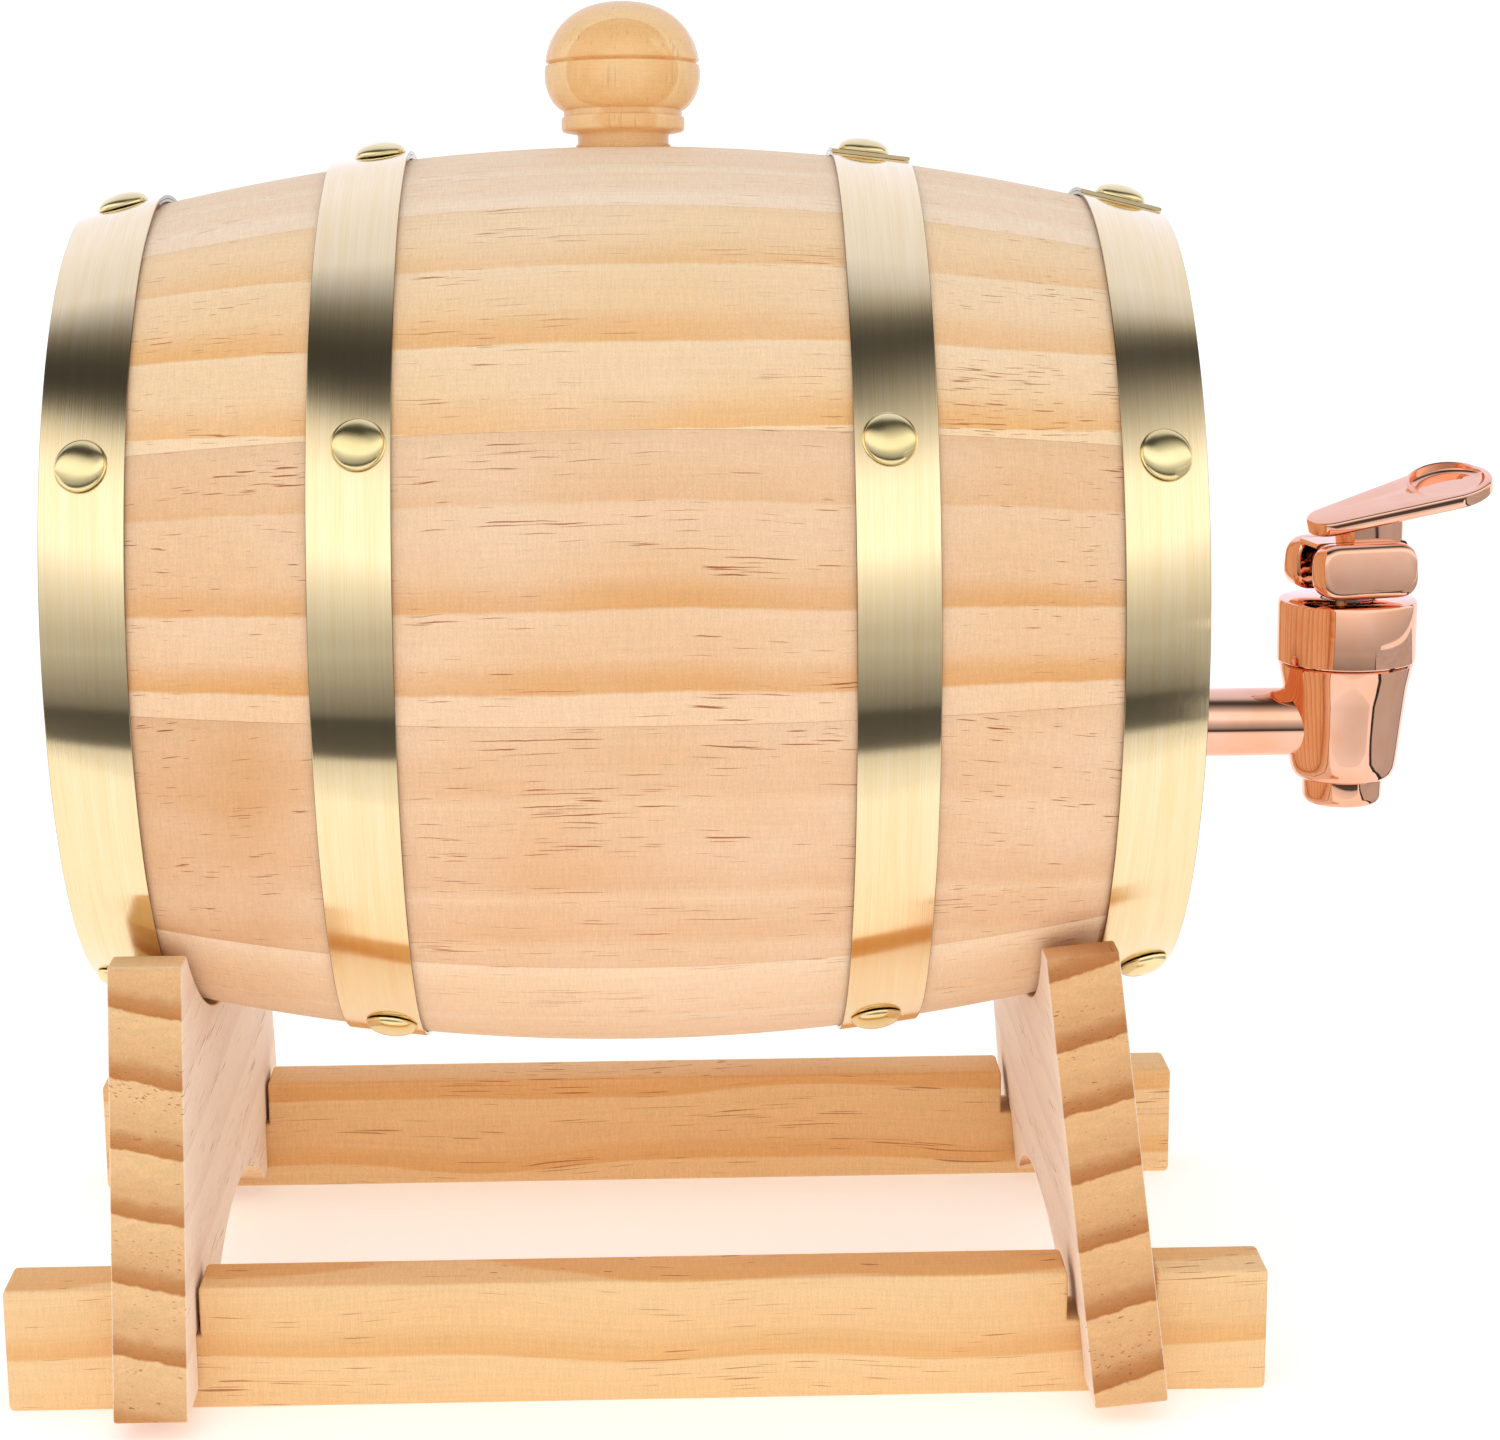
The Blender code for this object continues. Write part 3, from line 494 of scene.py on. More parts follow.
def stave_material(name, start, width, look, seed):
    """Pine with growth rings along the stave, which starts at an angle and is so many degrees wide."""
    material, tree = new_material(name)
    x, angle, radius = barrel_space(tree)
    turn = tree.plus(tree.times(angle, 180 / math.pi), 360.0)
    from_start = tree.math("MODULO", tree.math("SUBTRACT", turn, start), 360.0)
    run = tree.times(x, 1 / 80)
    arch = tree.times(tree.times(run, run), -look.bow)
    wave = tree.swing(tree.noise((x, seed * 11.0, 0.0), (0.012, 1, 1), detail=1.0), 4.0)
    jitter = tree.swing(tree.noise((x, seed * 5.0, 0.0), (0.15, 1, 1)), 0.5)
    warped = tree.plus(tree.plus(from_start, arch), tree.plus(wave, jitter))
    tone = tree.ramp(tree.math("DIVIDE", warped, width), ring_stops(look, start, width))
    colour = tree.mix(tone, srgb(look.pale), srgb(look.ripe))
    toward_end = tree.spread(tree.plus(x, wave), -50.0, -66.0, 0.0, look.end_tint)
    colour = tree.mix(toward_end, colour, srgb("d79a5e"))
    cloud = tree.noise((x, angle, seed), (0.02, 3.0, 1))
    colour = tree.mix(tree.spread(cloud, 0.35, 0.7, 0.0, 0.28), colour, srgb("fbe6cf"))
    across = tree.times(tree.plus(warped, start), BULGE_RADIUS * math.pi / 180)
    finish_wood(tree, BARE_WOOD, (x, across, radius), colour, look.ticks, 1.0, seed)
    return material


def plank_material(name, look, seed, origin=None):
    """Pine with flat growth rings, darker on its end grain. Boards across the barrel have their broad faces
    painted near white, as painted light.
    """
    material, tree = new_material(name)
    x, y, z = millimetres(tree, origin)
    along, height, depth = {"X": (x, z, y), "Y": (y, z, x), "Z": (z, y, x)}[look.grain]
    drift = tree.noise((along, height, seed), (0.012, 0.02, 1), detail=1.0)
    fine = tree.noise((along, height, depth), (0.05, 1, 1), 0.35)
    warped = tree.plus(height, tree.times(depth, look.slope))
    warped = tree.plus(warped, tree.swing(drift, look.wave * 4))
    warped = tree.plus(warped, tree.swing(fine, 1.4))
    cycle = tree.math("FRACT", tree.math("DIVIDE", tree.plus(warped, 500.0 + seed * 3.7), look.period))
    tone = tree.ramp(cycle, [(0.0, 0.1), (0.03, 0.92), (0.2, 0.75), (0.34, 0.36), (0.75, 0.12), (0.97, 0.05)])
    colour = tree.mix(tone, srgb(look.pale), srgb(look.ripe))
    facing = tree.facing()
    # Painted light: a cradle board's broad faces, which face along the barrel, are mixed towards near white.
    if look.grain == "Y":
        face = tree.spread(tree.math("ABSOLUTE", facing[0]), 0.6, 0.9, 0.0, 0.8)
        colour = tree.mix(face, colour, srgb("fff1e6"))
    end = tree.spread(tree.math("ABSOLUTE", facing["XYZ".index(look.grain)]), 0.6, 0.9, 0.0, look.end_tone)
    colour = tree.mix(end, colour, tree.mix(tone, srgb("e9b274"), srgb("a96428")))
    finish_wood(tree, BARE_WOOD, (along, warped, depth), colour, look.ticks, 1.1, seed)
    return material


def bung_material():
    """Turned pine under a honey-coloured gloss varnish."""
    material, tree = new_material("bung_varnish")
    x, y, z = millimetres(tree, middle_of("bung"))
    rings = tree.noise((x, y, z), (0.05, 1, 0.25), 0.5)
    cycle = tree.math("FRACT", tree.times(tree.plus(y, tree.times(rings, 6.0)), 0.13))
    tone = tree.ramp(cycle, [(0.0, 0.2), (0.5, 0.45), (0.9, 0.75), (1.0, 0.2)])
    colour = tree.mix(tone, srgb("fbd8a2"), srgb("ecb068"))
    varnish = {"Roughness": 0.4, "Specular IOR Level": 0.4, "Coat Weight": 0.45, "Coat Roughness": 0.22}
    finish_wood(tree, varnish, (z, x, y), colour, 0.35, 0.8, 3.0)
    return material


def hoop_material():
    """Pale brass sheet, brushed round the hoop, with its edges painted dark as painted shade."""
    material, tree = new_material("hoop_brass")
    x, angle, radius = barrel_space(tree)
    turn = tree.times(angle, BULGE_RADIUS)
    brush = tree.noise((x, turn, radius), (6.0, 0.05, 1), detail=3.0)
    wide = tree.noise((x, turn, 0.0), (0.6, 0.02, 1))
    smudge = tree.noise((x, turn, 4.0), (0.05, 0.05, 1))
    colour = tree.mix(tree.spread(wide, 0.3, 0.7), srgb("f8e0b0"), srgb("fbe7be"))
    colour = tree.mix(tree.spread(brush, 0.35, 0.75, 0.0, 0.3), colour, srgb("e3c48c"))
    # Painted shade: the hoop's edges, which face along the barrel, are painted dark brown to stand for the
    # shadow line along them.
    painted_edge_shade = tree.spread(tree.math("ABSOLUTE", tree.facing()[0]), 0.45, 0.75)
    colour = tree.mix(painted_edge_shade, colour, srgb("5a4829"))
    roughness = tree.plus(tree.spread(smudge, 0.3, 0.7, 0.12, 0.15), tree.times(brush, 0.03))
    around = tree.node("ShaderNodeTangent", direction_type="RADIAL", axis="X").outputs[0]
    inputs = {"Base Color": colour, "Metallic": 1.0, "Roughness": roughness}
    inputs |= {"Normal": tree.bump(brush, 0.16, 0.0001)}
    inputs |= {"Tangent": around, "Anisotropic": 0.95, "Anisotropic Rotation": 0.25}
    tree.finish(inputs)
    return material


def polished_material(name, colour, tint, roughness, wobble=0.04):
    """Polished metal with faint cloudiness and a slightly uneven surface."""
    material, tree = new_material(name)
    place = millimetres(tree)
    cloud = tree.noise(place, scale=0.12)
    fine = tree.noise(place, scale=3.0)
    mixed = tree.mix(tree.spread(cloud, 0.35, 0.65), srgb(colour), srgb(tint))
    rough = tree.spread(fine, 0.3, 0.8, roughness, roughness * 1.6)
    bump = tree.bump(cloud, wobble, 0.001)
    tree.finish({"Base Color": mixed, "Metallic": 1.0, "Roughness": rough, "Normal": bump})
    return material


def silicone_material():
    """Milky silicone rubber."""
    material, tree = new_material("silicone")
    cloud = tree.noise(millimetres(tree), scale=0.6, detail=3.0)
    colour = tree.mix(cloud, srgb("e4e4df"), srgb("f3f3ee"))
    tree.finish({"Base Color": colour, "Roughness": 0.5, "Normal": tree.bump(cloud, 0.1, 0.0002)})
    return material


HOOP_BRASS = hoop_material()
NAIL_BRASS = polished_material("nail_brass", "f3e2ae", "e9d49a", 0.15)
ROSE_GOLD = polished_material("tap_rose_gold", "f4c0a6", "f1b797", 0.035, 0.02)
STEEL = polished_material("tap_inner_steel", "b9b4ac", "a9a49c", 0.18)
SILICONE = silicone_material()
BUNG_WOOD = bung_material()


# ---------------------------------------------------------------- the barrel


# The staves that show from the front, and the one below them.
STAVE_LOOKS = {
    1: StaveLook(((-36, 5, 0.45), (-27.5, 7, 0.6), (-14, 4, 0.4)), "eec69e", "dc9f69", -5.0, 1.1, 0.03, 0.8),
    2: StaveLook(((-1.3, 3.9, 1.0), (8.3, 3.7, 0.85), (20.7, 2.6, 0.5)), "f2cca5", "e09e55", -0.6, 1.0),
    3: StaveLook(((28.6, 5.4, 0.85), (40.5, 5.0, 0.85), (52.4, 3.4, 0.6)), "fbdfb8", "edae62", 1.8, 0.8),
    4: StaveLook(
        ((68, 4, 0.35), (76, 5, 0.4), (88, 6, 0.3), (101, 5, 0.4)), "fbe6cc", "efc095", 1.5, 0.5, 0.03
    ),
    10: StaveLook(((294, 6, 0.35), (305, 7, 0.4)), "f9dcbc", "efbe86", -2.0, 0.7, 0.02, 0.15),
}
CHANCE_COLOURS = (("f6d9b6", "ebb070"), ("f5d2ae", "e6a868"), ("f8deb9", "f0b873"))


def chance_look(number, start):
    """A look for a stave at the back."""
    draw = random.Random(number)
    rings = []
    edge = start + draw.uniform(3, 8)
    while edge < start + 30:
        rings.append((edge, draw.uniform(2.5, 4.5), draw.uniform(0.35, 0.95)))
        edge += draw.uniform(7, 12)
    pale, ripe = draw.choice(CHANCE_COLOURS)
    return StaveLook(tuple(rings), pale, ripe, draw.uniform(-2, 2), draw.uniform(0.5, 1.0))


def stave_profile(ease):
    """The closed (x, radius) profile. ease lowers the outside, for the soft edge at a joint."""
    chamfer, drop, steps = 0.5, 0.6, 44
    outside = []
    for i in range(steps + 1):
        x = -STAVE_END + 2 * STAVE_END * i / steps
        outside.append((x, wood_radius(x) - ease))
    outside[0] = (outside[0][0] + chamfer, outside[0][1])
    outside[-1] = (outside[-1][0] - chamfer, outside[-1][1])
    end_radius = wood_radius(STAVE_END)
    outside.insert(0, (-STAVE_END, end_radius - drop - ease))
    outside.append((STAVE_END, end_radius - drop - ease))
    face = end_radius - STAVE_THICKNESS
    groove_low, groove_high = CROZE_X
    groove = wood_radius(HEAD_X[0]) - STAVE_THICKNESS + 3.1
    right = [(STAVE_END, face + 3.0), (97.4, face + 0.6), (groove_high, face + 1.4), (groove_high, groove)]
    right += [(groove_low, groove), (groove_low, wood_radius(groove_low) - STAVE_THICKNESS)]
    inside = []
    for i in range(1, 20):
        x = groove_low - 2 * groove_low * i / 20
        inside.append((x, wood_radius(x) - STAVE_THICKNESS))
    left = [(-x, radius) for x, radius in reversed(right)]
    return outside + right + inside + left


def stave_angles(start, width):
    """The angles of a stave's sections, with one close to each joint for its soft edge."""
    low, high = start + JOINT_GAP, start + width - JOINT_GAP
    steps = round(width / STAVE_STEP)
    between = [low + (high - low) * i / steps for i in range(1, steps)]
    return [low, low + JOINT_EASE, *between, high - JOINT_EASE, high]


def make_staves():
    plain = stave_profile(0.0)
    eased = stave_profile(0.09)
    start = FIRST_JOINT
    for number, width in enumerate(STAVE_WIDTHS, start=1):
        look = STAVE_LOOKS.get(number) or chance_look(number, start)
        material = stave_material("stave_pine_%02d" % number, start, width, look, number)
        angles = stave_angles(start, width)
        ends = (0, len(angles) - 1)
        stave = sweep("wood_stave_%02d" % number, lambda i: eased if i in ends else plain, angles, material)
        if number == BUNG_STAVE:
            cut(stave, bung_hole(material))
        install(stave, "barrel", "stave_pine", "stave_%02d" % number)
        start += width


def bung_place():
    """A frame whose origin is where the bung's axis meets the wood and whose Z points out."""
    foot = barrel_point(0, BULGE_RADIUS, BUNG_ANGLE)
    return Matrix.Translation(foot) @ Matrix.Rotation(math.radians(BUNG_ANGLE - 90), 4, (-1, 0, 0))


def bung_hole(material):
    flare = BUNG_HOLE + 0.5
    outline = [(0, 6), (flare, 6), (flare, 0.1), (BUNG_HOLE, -0.4), (BUNG_HOLE, -14), (0, -14)]
    return lathe("bung_hole", outline, bung_place(), material, 64)


def shank_hole(centre_x, material):
    outline = [(0, 9), (SHANK_HOLE, 9), (SHANK_HOLE, -9), (0, -9)]
    return lathe("hole", outline, Matrix.Translation((centre_x, 0, SHANK_Z)) @ ALONG, material, 48)


HEAD_LOOK = PlankLook("Z", 9.0, "f6d8b2", "e6aa68", 0.1, 2.0, 0.8)


def head_outline(rim, low, high, steps=40):
    """The part of a round head between two places across it, as (y, z)."""
    low, high = max(low, -rim + 0.4), min(high, rim - 0.4)
    across = [low + (high - low) * i / steps for i in range(steps + 1)]
    bottom = [(y, -math.sqrt(rim * rim - y * y)) for y in across]
    return bottom + [(y, math.sqrt(rim * rim - y * y)) for y in reversed(across)]


def make_heads():
    """Each head's three boards, with eased edges."""
    inner, outer = HEAD_X
    rim = wood_radius(inner) - STAVE_THICKNESS + 2.8
    beside = HEAD_SPLIT + 0.1
    spans = {"front": (-rim, -beside), "middle": (-HEAD_SPLIT, HEAD_SPLIT), "rear": (beside, rim)}
    for side, sign, centre in (("left", -1, HEAD_LEFT), ("right", 1, HEAD_RIGHT)):
        for place, (low, high) in spans.items():
            name = "%s_%s" % (side, place)
            material = plank_material("head_pine_" + name, HEAD_LOOK, len(place) + sign)
            outline = head_outline(rim, low, high)
            matrix = Matrix.Translation(centre) @ FACING_ALONG
            board = prism("wood_head_" + name, outline, outer - inner, 0.45, matrix, material, 2)
            if name == "right_middle":
                cut(board, shank_hole(centre.x, material))
            install(board, "barrel", "head_pine", "head_" + name)


def hoop_section(low, high, lift):
    """The sheet's cross-section in (x, radius), with its corners eased."""
    inside = HOOP_GAP + lift
    outside = inside + HOOP_THICKNESS
    corners = [
        (low, wood_radius(low) + inside),
        (high, wood_radius(high) + inside),
        (high, wood_radius(high) + outside),
        (low, wood_radius(low) + outside),
    ]
    return fillet(corners, 0.22, 3)


def lap_lift(run):
    """How far the strip stands off, so many degrees from its tip, to lie over its other end."""
    rise = min(max((HOOP_OVERLAP * 1.5 - run) / (HOOP_OVERLAP * 0.5), 0.0), 1.0)
    return (HOOP_THICKNESS + 0.05) * rise * rise * (3 - 2 * rise)


def make_hoops(steps=200):
    """Each band is one long strip, whose first stretch lies over its end."""
    runs = [(360.0 + HOOP_OVERLAP) * i / steps for i in range(steps + 1)]
    lifts = [lap_lift(run) for run in runs]
    for name, (low, high) in HOOPS.items():
        tip, direction = HOOP_TIPS[name.split("_")[0]]
        angles = [tip + direction * run for run in runs]
        hoop = sweep("brass_hoop_" + name, lambda i: hoop_section(low, high, lifts[i]), angles, HOOP_BRASS)
        install(hoop, "barrel", "hoop_brass", "hoop_" + name)


def nail_place(x, degrees, rise):
    """A frame on the hoop's outside, whose Z points out of it."""
    radius = wood_radius(x) + HOOP_GAP + HOOP_THICKNESS + rise
    radial = (barrel_point(0, 1, degrees) - AXIS).normalized()
    slope = math.atan(2 * BULGE_DROP * x)
    normal = radial * math.cos(slope) + Vector((math.sin(slope), 0, 0))
    turn = normal.to_track_quat("Z", "X").to_matrix().to_4x4()
    return Matrix.Translation(barrel_point(x, radius, degrees)) @ turn


def nail_outline(steps=12):
    """A domed head with a thin rolled rim, and a pointed shank."""
    outline = [(0.0, DOME)]
    for i in range(1, steps + 1):
        angle = math.radians(84 * i / steps)
        outline.append((4.68 * math.sin(angle), 0.25 + (DOME - 0.25) * math.cos(angle)))
    return outline + [(4.78, 0.4), (4.8, 0.15), (4.7, 0.03), (4.2, 0.0), (0.9, 0.0), (0.9, -6.5), (0.0, -7.2)]


def make_nails():
    """Four nails a hoop. The one at the lap sits a sheet higher."""
    outline = nail_outline()
    for name, nail_x in NAIL_X.items():
        for number, degrees in enumerate(NAIL_ANGLES, start=1):
            shifted = degrees < 0 and name.endswith("outer")
            x = nail_x + math.copysign(LOW_NAIL_SHIFT, nail_x) if shifted else nail_x
            rise = HOOP_THICKNESS if degrees == LAP_ANGLE else 0.0
            label = "%s_%d" % (name, number)
            nail = lathe("brass_nail_" + label, outline, nail_place(x, degrees, rise), NAIL_BRASS, 48)
            install(nail, "barrel", "nail_brass", "nail_" + label)


def make_bung():
    """The turned knob, with its fine groove, collar, neck and tapered plug."""
    ball, widest, crown = 14.7, 13.7, 13.3
    outline = [(0.0, widest + crown)]
    for i in range(1, 19):
        angle = math.radians(80.5 * i / 18)
        outline.append((ball * math.sin(angle) ** 0.86, widest + crown * math.cos(angle) ** 0.93))
    outline += [(14.45, 15.85), (14.05, 15.62), (13.85, 15.45), (14.05, 15.28), (14.58, 15.05)]
    outline += [(14.7, 14.3), (14.72, 13.2), (14.65, 12.2), (14.45, 11.2), (14.15, 10.2), (13.75, 9.3)]
    outline += [(13.25, 8.5), (12.7, 7.8), (12.05, 7.2), (11.5, 6.85), (11.15, 6.7), (11.2, 6.5)]
    outline += fillet([(11.75, 6.3), (11.6, 2.9), (8.6, 2.4), (8.6, -0.5)], [0.5, 0.7, 0.6, 0.2], 4)
    outline += [(8.55, -1.0), (7.6, -13.2), (7.0, -14.0), (0.0, -14.0)]
    bung = lathe("turned_bung", outline, bung_place(), BUNG_WOOD, 112)
    install(bung, "bung", "bung_varnish", "bung")


# ---------------------------------------------------------------- the tap


def make_casting(name, outline, node, place=None, segments=128):
    """One turned casting of the tap, upright unless it has a place of its own."""
    upright = Matrix.Translation((TAP.x, TAP.y, 0))
    casting = lathe(name, outline, place or upright, ROSE_GOLD, segments, closed=True)
    install(casting, "barrel", "tap_rose_gold", node)


def make_tap():
    """The tap's visible castings, turned fine enough to reflect cleanly."""
    seam = 123.2
    body = [(8.2, 128.6), (10.4, 128.6), (10.4, seam), (12.7, seam), (13.0, seam - 0.3)]
    body += [(12.75, 121.5), (12.2, 119.0), (11.8, 116.0), (11.45, 113.0), (11.1, 110.0), (10.8, 107.0)]
    body += [(10.5, 104.5), (10.3, 103.0), (9.95, 101.8), (9.4, 100.9), (8.7, 100.4), (8.2, 100.3)]
    make_casting("tap_casting", body, "tap_body")
    spout = [(4.2, 106.6), (7.9, 106.6), (7.9, 100.5), (7.75, 100.3), (7.7, 96.9), (7.5, 96.1), (7.0, 95.5)]
    spout += [(6.5, 95.3), (5.9, 95.35), (5.6, 95.7), (5.6, 103.6), (4.2, 105.0)]
    make_casting("tap_nozzle", spout, "tap_spout")
    inner_end = (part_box("tap_shank")[0].x - TAP.x) / MM
    half_head, washer = 3.25, 2.4
    flange = (HEAD_RIGHT.x - TAP.x) / MM + half_head + washer
    shank = [(3.6, -8.7), (6.65, -8.7), (6.65, flange + 2.9), (6.9, flange + 2.4), (9.6, flange + 2.2)]
    shank += [(10.0, flange + 1.8), (10.0, flange), (6.65, flange), (6.65, inner_end), (3.6, inner_end)]
    across = Matrix.Translation((TAP.x, TAP.y, SHANK_Z)) @ ALONG
    make_casting("tap_tube", shank, "tap_shank", across, 96)
    cap = [(5.3, 135.6), (12.6, 135.6), (13.15, 135.4), (13.4, 134.9), (13.4, 123.75), (13.15, 123.5)]
    cap += [(10.7, 123.5), (10.7, 132.6), (5.3, 132.6)]
    make_casting("tap_cap", cap, "tap_bonnet")


def arc(centre_x, radius, start, end, steps=36):
    angles = [start + (end - start) * i / steps for i in range(steps + 1)]
    return [(centre_x + radius * math.cos(angle), radius * math.sin(angle)) for angle in angles]


def paddle_outline(heel_x, heel_radius, thumb_x, thumb_radius):
    """A small and a large circle joined by their outer tangents."""
    lean = math.asin((thumb_radius - heel_radius) / (thumb_x - heel_x))
    edge = math.pi / 2 + lean
    return arc(thumb_x, thumb_radius, -edge, edge) + arc(heel_x, heel_radius, edge, math.tau - edge)


def lean_outside(cheek, base):
    """Leans a cheek's outer face in towards the top, as cast, and puts the cheek in place."""
    outer_half = 6 * MM
    for vert in cheek.data.vertices:
        x, y, z = vert.co
        if abs(y) > outer_half:
            y -= math.copysign(CHEEK_DRAFT, y) * z
        vert.co = base @ Vector((x, y, z))


def level_top(obj, above, seat):
    """Lowers or lifts the vertices higher than above onto the seat's plane."""
    normal = seat.col[2].xyz
    foot = seat.translation
    for vert in obj.data.vertices:
        if vert.co.z > above:
            reach = (vert.co - foot).xy.dot(normal.xy)
            vert.co.z = foot.z - reach / normal.z


def thumb_rim(place, steps=48):
    """A low crescent lip along the far side of the thumb dish."""
    bm = bmesh.new()
    rings = []
    for i in range(steps + 1):
        angle = math.radians(20.0 + 170.0 * i / steps)
        rise = 1.15 * math.sin(math.pi * i / steps) ** 0.6
        profile = [(6.95, 0.9), (7.05, 1.35 + rise * 0.9), (7.3, 1.4 + rise)]
        profile += [(7.9, 1.4 + rise * 0.8), (8.4, 1.2)]
        rings.append([bm.verts.new(polar(radius, angle, height)) for radius, height in profile])
    stitch(bm, rings)
    close_ends(bm, rings)
    bmesh.ops.transform(bm, matrix=place, verts=bm.verts)
    return finish_mesh("rim", bm, ROSE_GOLD)


def make_fork(base):
    """Two pillow-edged cheeks, joined by a web and a roof."""
    pieces = []
    cheek = fillet([(-9.8, -5.2), (10.6, -5.2), (10.6, 5.2), (-9.8, 5.2)], 4.4, 8)
    for side in (-1, 1):
        middle = move_mm(0, side * 6.75, 0) @ SIDEWAYS
        pieces.append(prism("cheek", cheek, 5.9, 1.5, middle, ROSE_GOLD, 5))
        lean_outside(pieces[-1], base)
    web = fillet([(6.6, -4.6), (10.3, -4.6), (10.3, 5.0), (6.6, 5.0)], 1.2, 4)
    roof = fillet([(-8.6, 4.1), (8.0, 4.1), (8.0, 5.1), (-8.6, 5.1)], 0.2, 2)
    for name, outline in (("web", web), ("roof", roof)):
        pieces.append(prism(name, outline, 8.0, 0, base @ SIDEWAYS, ROSE_GOLD))
    return pieces


def make_neck(base, seat):
    outline = fillet([(-1.4, -4.6), (10.0, -4.6), (10.0, 4.6), (-1.4, 4.6)], [1.2, 3.4, 3.4, 1.2], 6)
    middle = 8.0
    neck = prism("neck", outline, 7.4, 0, base @ move_mm(0, 0, middle), ROSE_GOLD)
    level_top(neck, PIN_POINT.z + middle * MM, seat)
    return neck


def make_paddle(seat):
    """The plate with its thumb dish cut, and the lip beside the dish."""
    plate = prism("plate", paddle_outline(-4.2, 4.6, THUMB_X, 8.7), 2.8, 0.6, seat, ROSE_GOLD, 4)
    dish = [(0, 4.0), (7.3, 4.0), (7.25, 1.4), (6.95, 1.0), (6.6, 0.6), (5.8, 0.35), (4.0, 0.3), (0, 0.3)]
    thumb = seat @ move_mm(THUMB_X, 0, 0)
    cut(plate, lathe("dish", dish, thumb, ROSE_GOLD, 72))
    return [thumb_rim(thumb), plate]


def make_lever():
    """The forked lever: a fork round the pin, a neck and a dished paddle."""
    base = Matrix.Translation(PIN_POINT) @ Matrix.Rotation(SWIVEL, 4, "Z")
    tilt = Matrix.Rotation(PADDLE_TILT, 4, (0, -1, 0))
    twist = Matrix.Rotation(PADDLE_TWIST, 4, (1, 0, 0))
    seat = base @ move_mm(0, 0, PADDLE_HEIGHT) @ tilt @ twist
    lever = join("tap_handle", [*make_fork(base), make_neck(base, seat), *make_paddle(seat)])
    install(lever, "lever", "tap_rose_gold", "tap_lever")


def dress_inner_pieces():
    """The CAD pieces that stay, each with its own surface."""
    looks = {
        "lever_pin": STEEL,
        "stem_guide_bush": STEEL,
        "tap_stem": STEEL,
        "tap_spring": STEEL,
        "backing_nut": STEEL,
        "tap_seal": SILICONE,
        "shank_washer_inner": SILICONE,
        "shank_washer_outer": SILICONE,
    }
    for node, material in looks.items():
        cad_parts[node].data.materials.clear()
        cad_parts[node].data.materials.append(material)


# ---------------------------------------------------------------- the stand


RAIL_LOOK = PlankLook("X", 15.0, "f6cf9b", "ebb373", 0.25, 3.0, 0.8, 0.5)
LEFT_BOARD_LOOK = PlankLook("Y", 12.3, "f9dcae", "d08643", 0.22, 1.6, 0.9, 0.55)
RIGHT_BOARD_LOOK = PlankLook("Y", 12.3, "f2c797", "bd7338", -0.3, 1.6, 0.9, 0.55)


def rail_outline(half, top, shift):
    """A rail seen from the front, from its middle, with a notch for each board."""
    outline = [(-half, 0), (half, 0), (half, top)]
    for left, right in reversed(NOTCHES):
        left, right = left - shift, right - shift
        outline += [(right, top), (right, NOTCH_FLOOR), (left, NOTCH_FLOOR), (left, top)]
    outline.append((-half, top))
    notch = [0.9, 0.3, 0.3, 0.9]
    return fillet(outline, [1.0, 1.0, 1.0, *notch, *notch, 1.0], 3)


def make_rails():
    """Two notched rails with lightly eased edges."""
    for name, seed in (("rail_front", 1.0), ("rail_rear", 2.0)):
        low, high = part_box(name)
        centre_x = (low.x + high.x) / 2
        outline = rail_outline((high.x - low.x) / 2 / MM, (high.z - low.z) / MM, (centre_x - AXIS.x) / MM)
        place = Matrix.Translation((centre_x, (low.y + high.y) / 2, 0)) @ SIDEWAYS
        material = plank_material(name + "_pine", RAIL_LOOK, seed)
        rail = prism("wood_" + name, outline, (high.y - low.y) / MM, 0.6, place, material, 3)
        install(rail, "stand", "stand_pine", name)


def board_outline(slot_top):
    """The cradle board seen along the barrel's axis, as (y, z)."""
    foot_z, foot_y, tip_y, tip_z = 3.8, 83.5, 64.0, 82.9
    radius, bottom = 83.2, 60.6
    centre = bottom + radius
    arch_radius, arch_top = 85.0, 18.6
    inner_tip = math.sqrt(radius**2 - (centre - tip_z) ** 2)
    arch_y = math.sqrt(arch_radius**2 - (foot_z - arch_top + arch_radius) ** 2)
    foot = [(54.2, foot_z), (54.2, slot_top), (67.5, slot_top), (67.5, foot_z)]
    foot += [(foot_y, foot_z), (tip_y, tip_z)]
    foot_radii = [0.9, 0.2, 0.2, 0.9, 1.1, 1.1]
    outline = []
    radii = []
    for i in range(25):
        y = -arch_y + 2 * arch_y * i / 24
        outline.append((y, arch_top - arch_radius + math.sqrt(arch_radius**2 - y * y)))
        radii.append(0.9 if i in (0, 24) else 0.0)
    outline += foot
    radii += foot_radii
    for i in range(61):
        y = inner_tip - 2 * inner_tip * i / 60
        outline.append((y, centre - math.sqrt(radius**2 - y * y)))
        radii.append(0.8 if i in (0, 60) else 0.0)
    outline += [(-y, z) for y, z in reversed(foot)]
    radii += foot_radii[::-1]
    return fillet(outline, radii, 3)


def make_boards():
    """Two cradle boards. The right one leans in its loose notches."""
    upright = Matrix.Identity(4)
    lean = Matrix.Rotation(RIGHT_LEAN, 4, (0, -1, 0))
    boards = {
        "cradle_board_left": (-87.0, upright, 14.3, LEFT_BOARD_LOOK, 4.0),
        "cradle_board_right": (88.5, lean, 14.95, RIGHT_BOARD_LOOK, 9.0),
    }
    for name, (x, tilt, slot_top, look, seed) in boards.items():
        foot = Vector((AXIS.x + x * MM, 0, 0))
        material = plank_material(name + "_pine", look, seed, foot)
        place = Matrix.Translation(foot) @ tilt @ FACING_ALONG
        board = prism("wood_" + name, board_outline(slot_top), BOARD_THICKNESS, 0.55, place, material, 3)
        install(board, "stand", "stand_pine", name)


# ---------------------------------------------------------------- studio, in metres


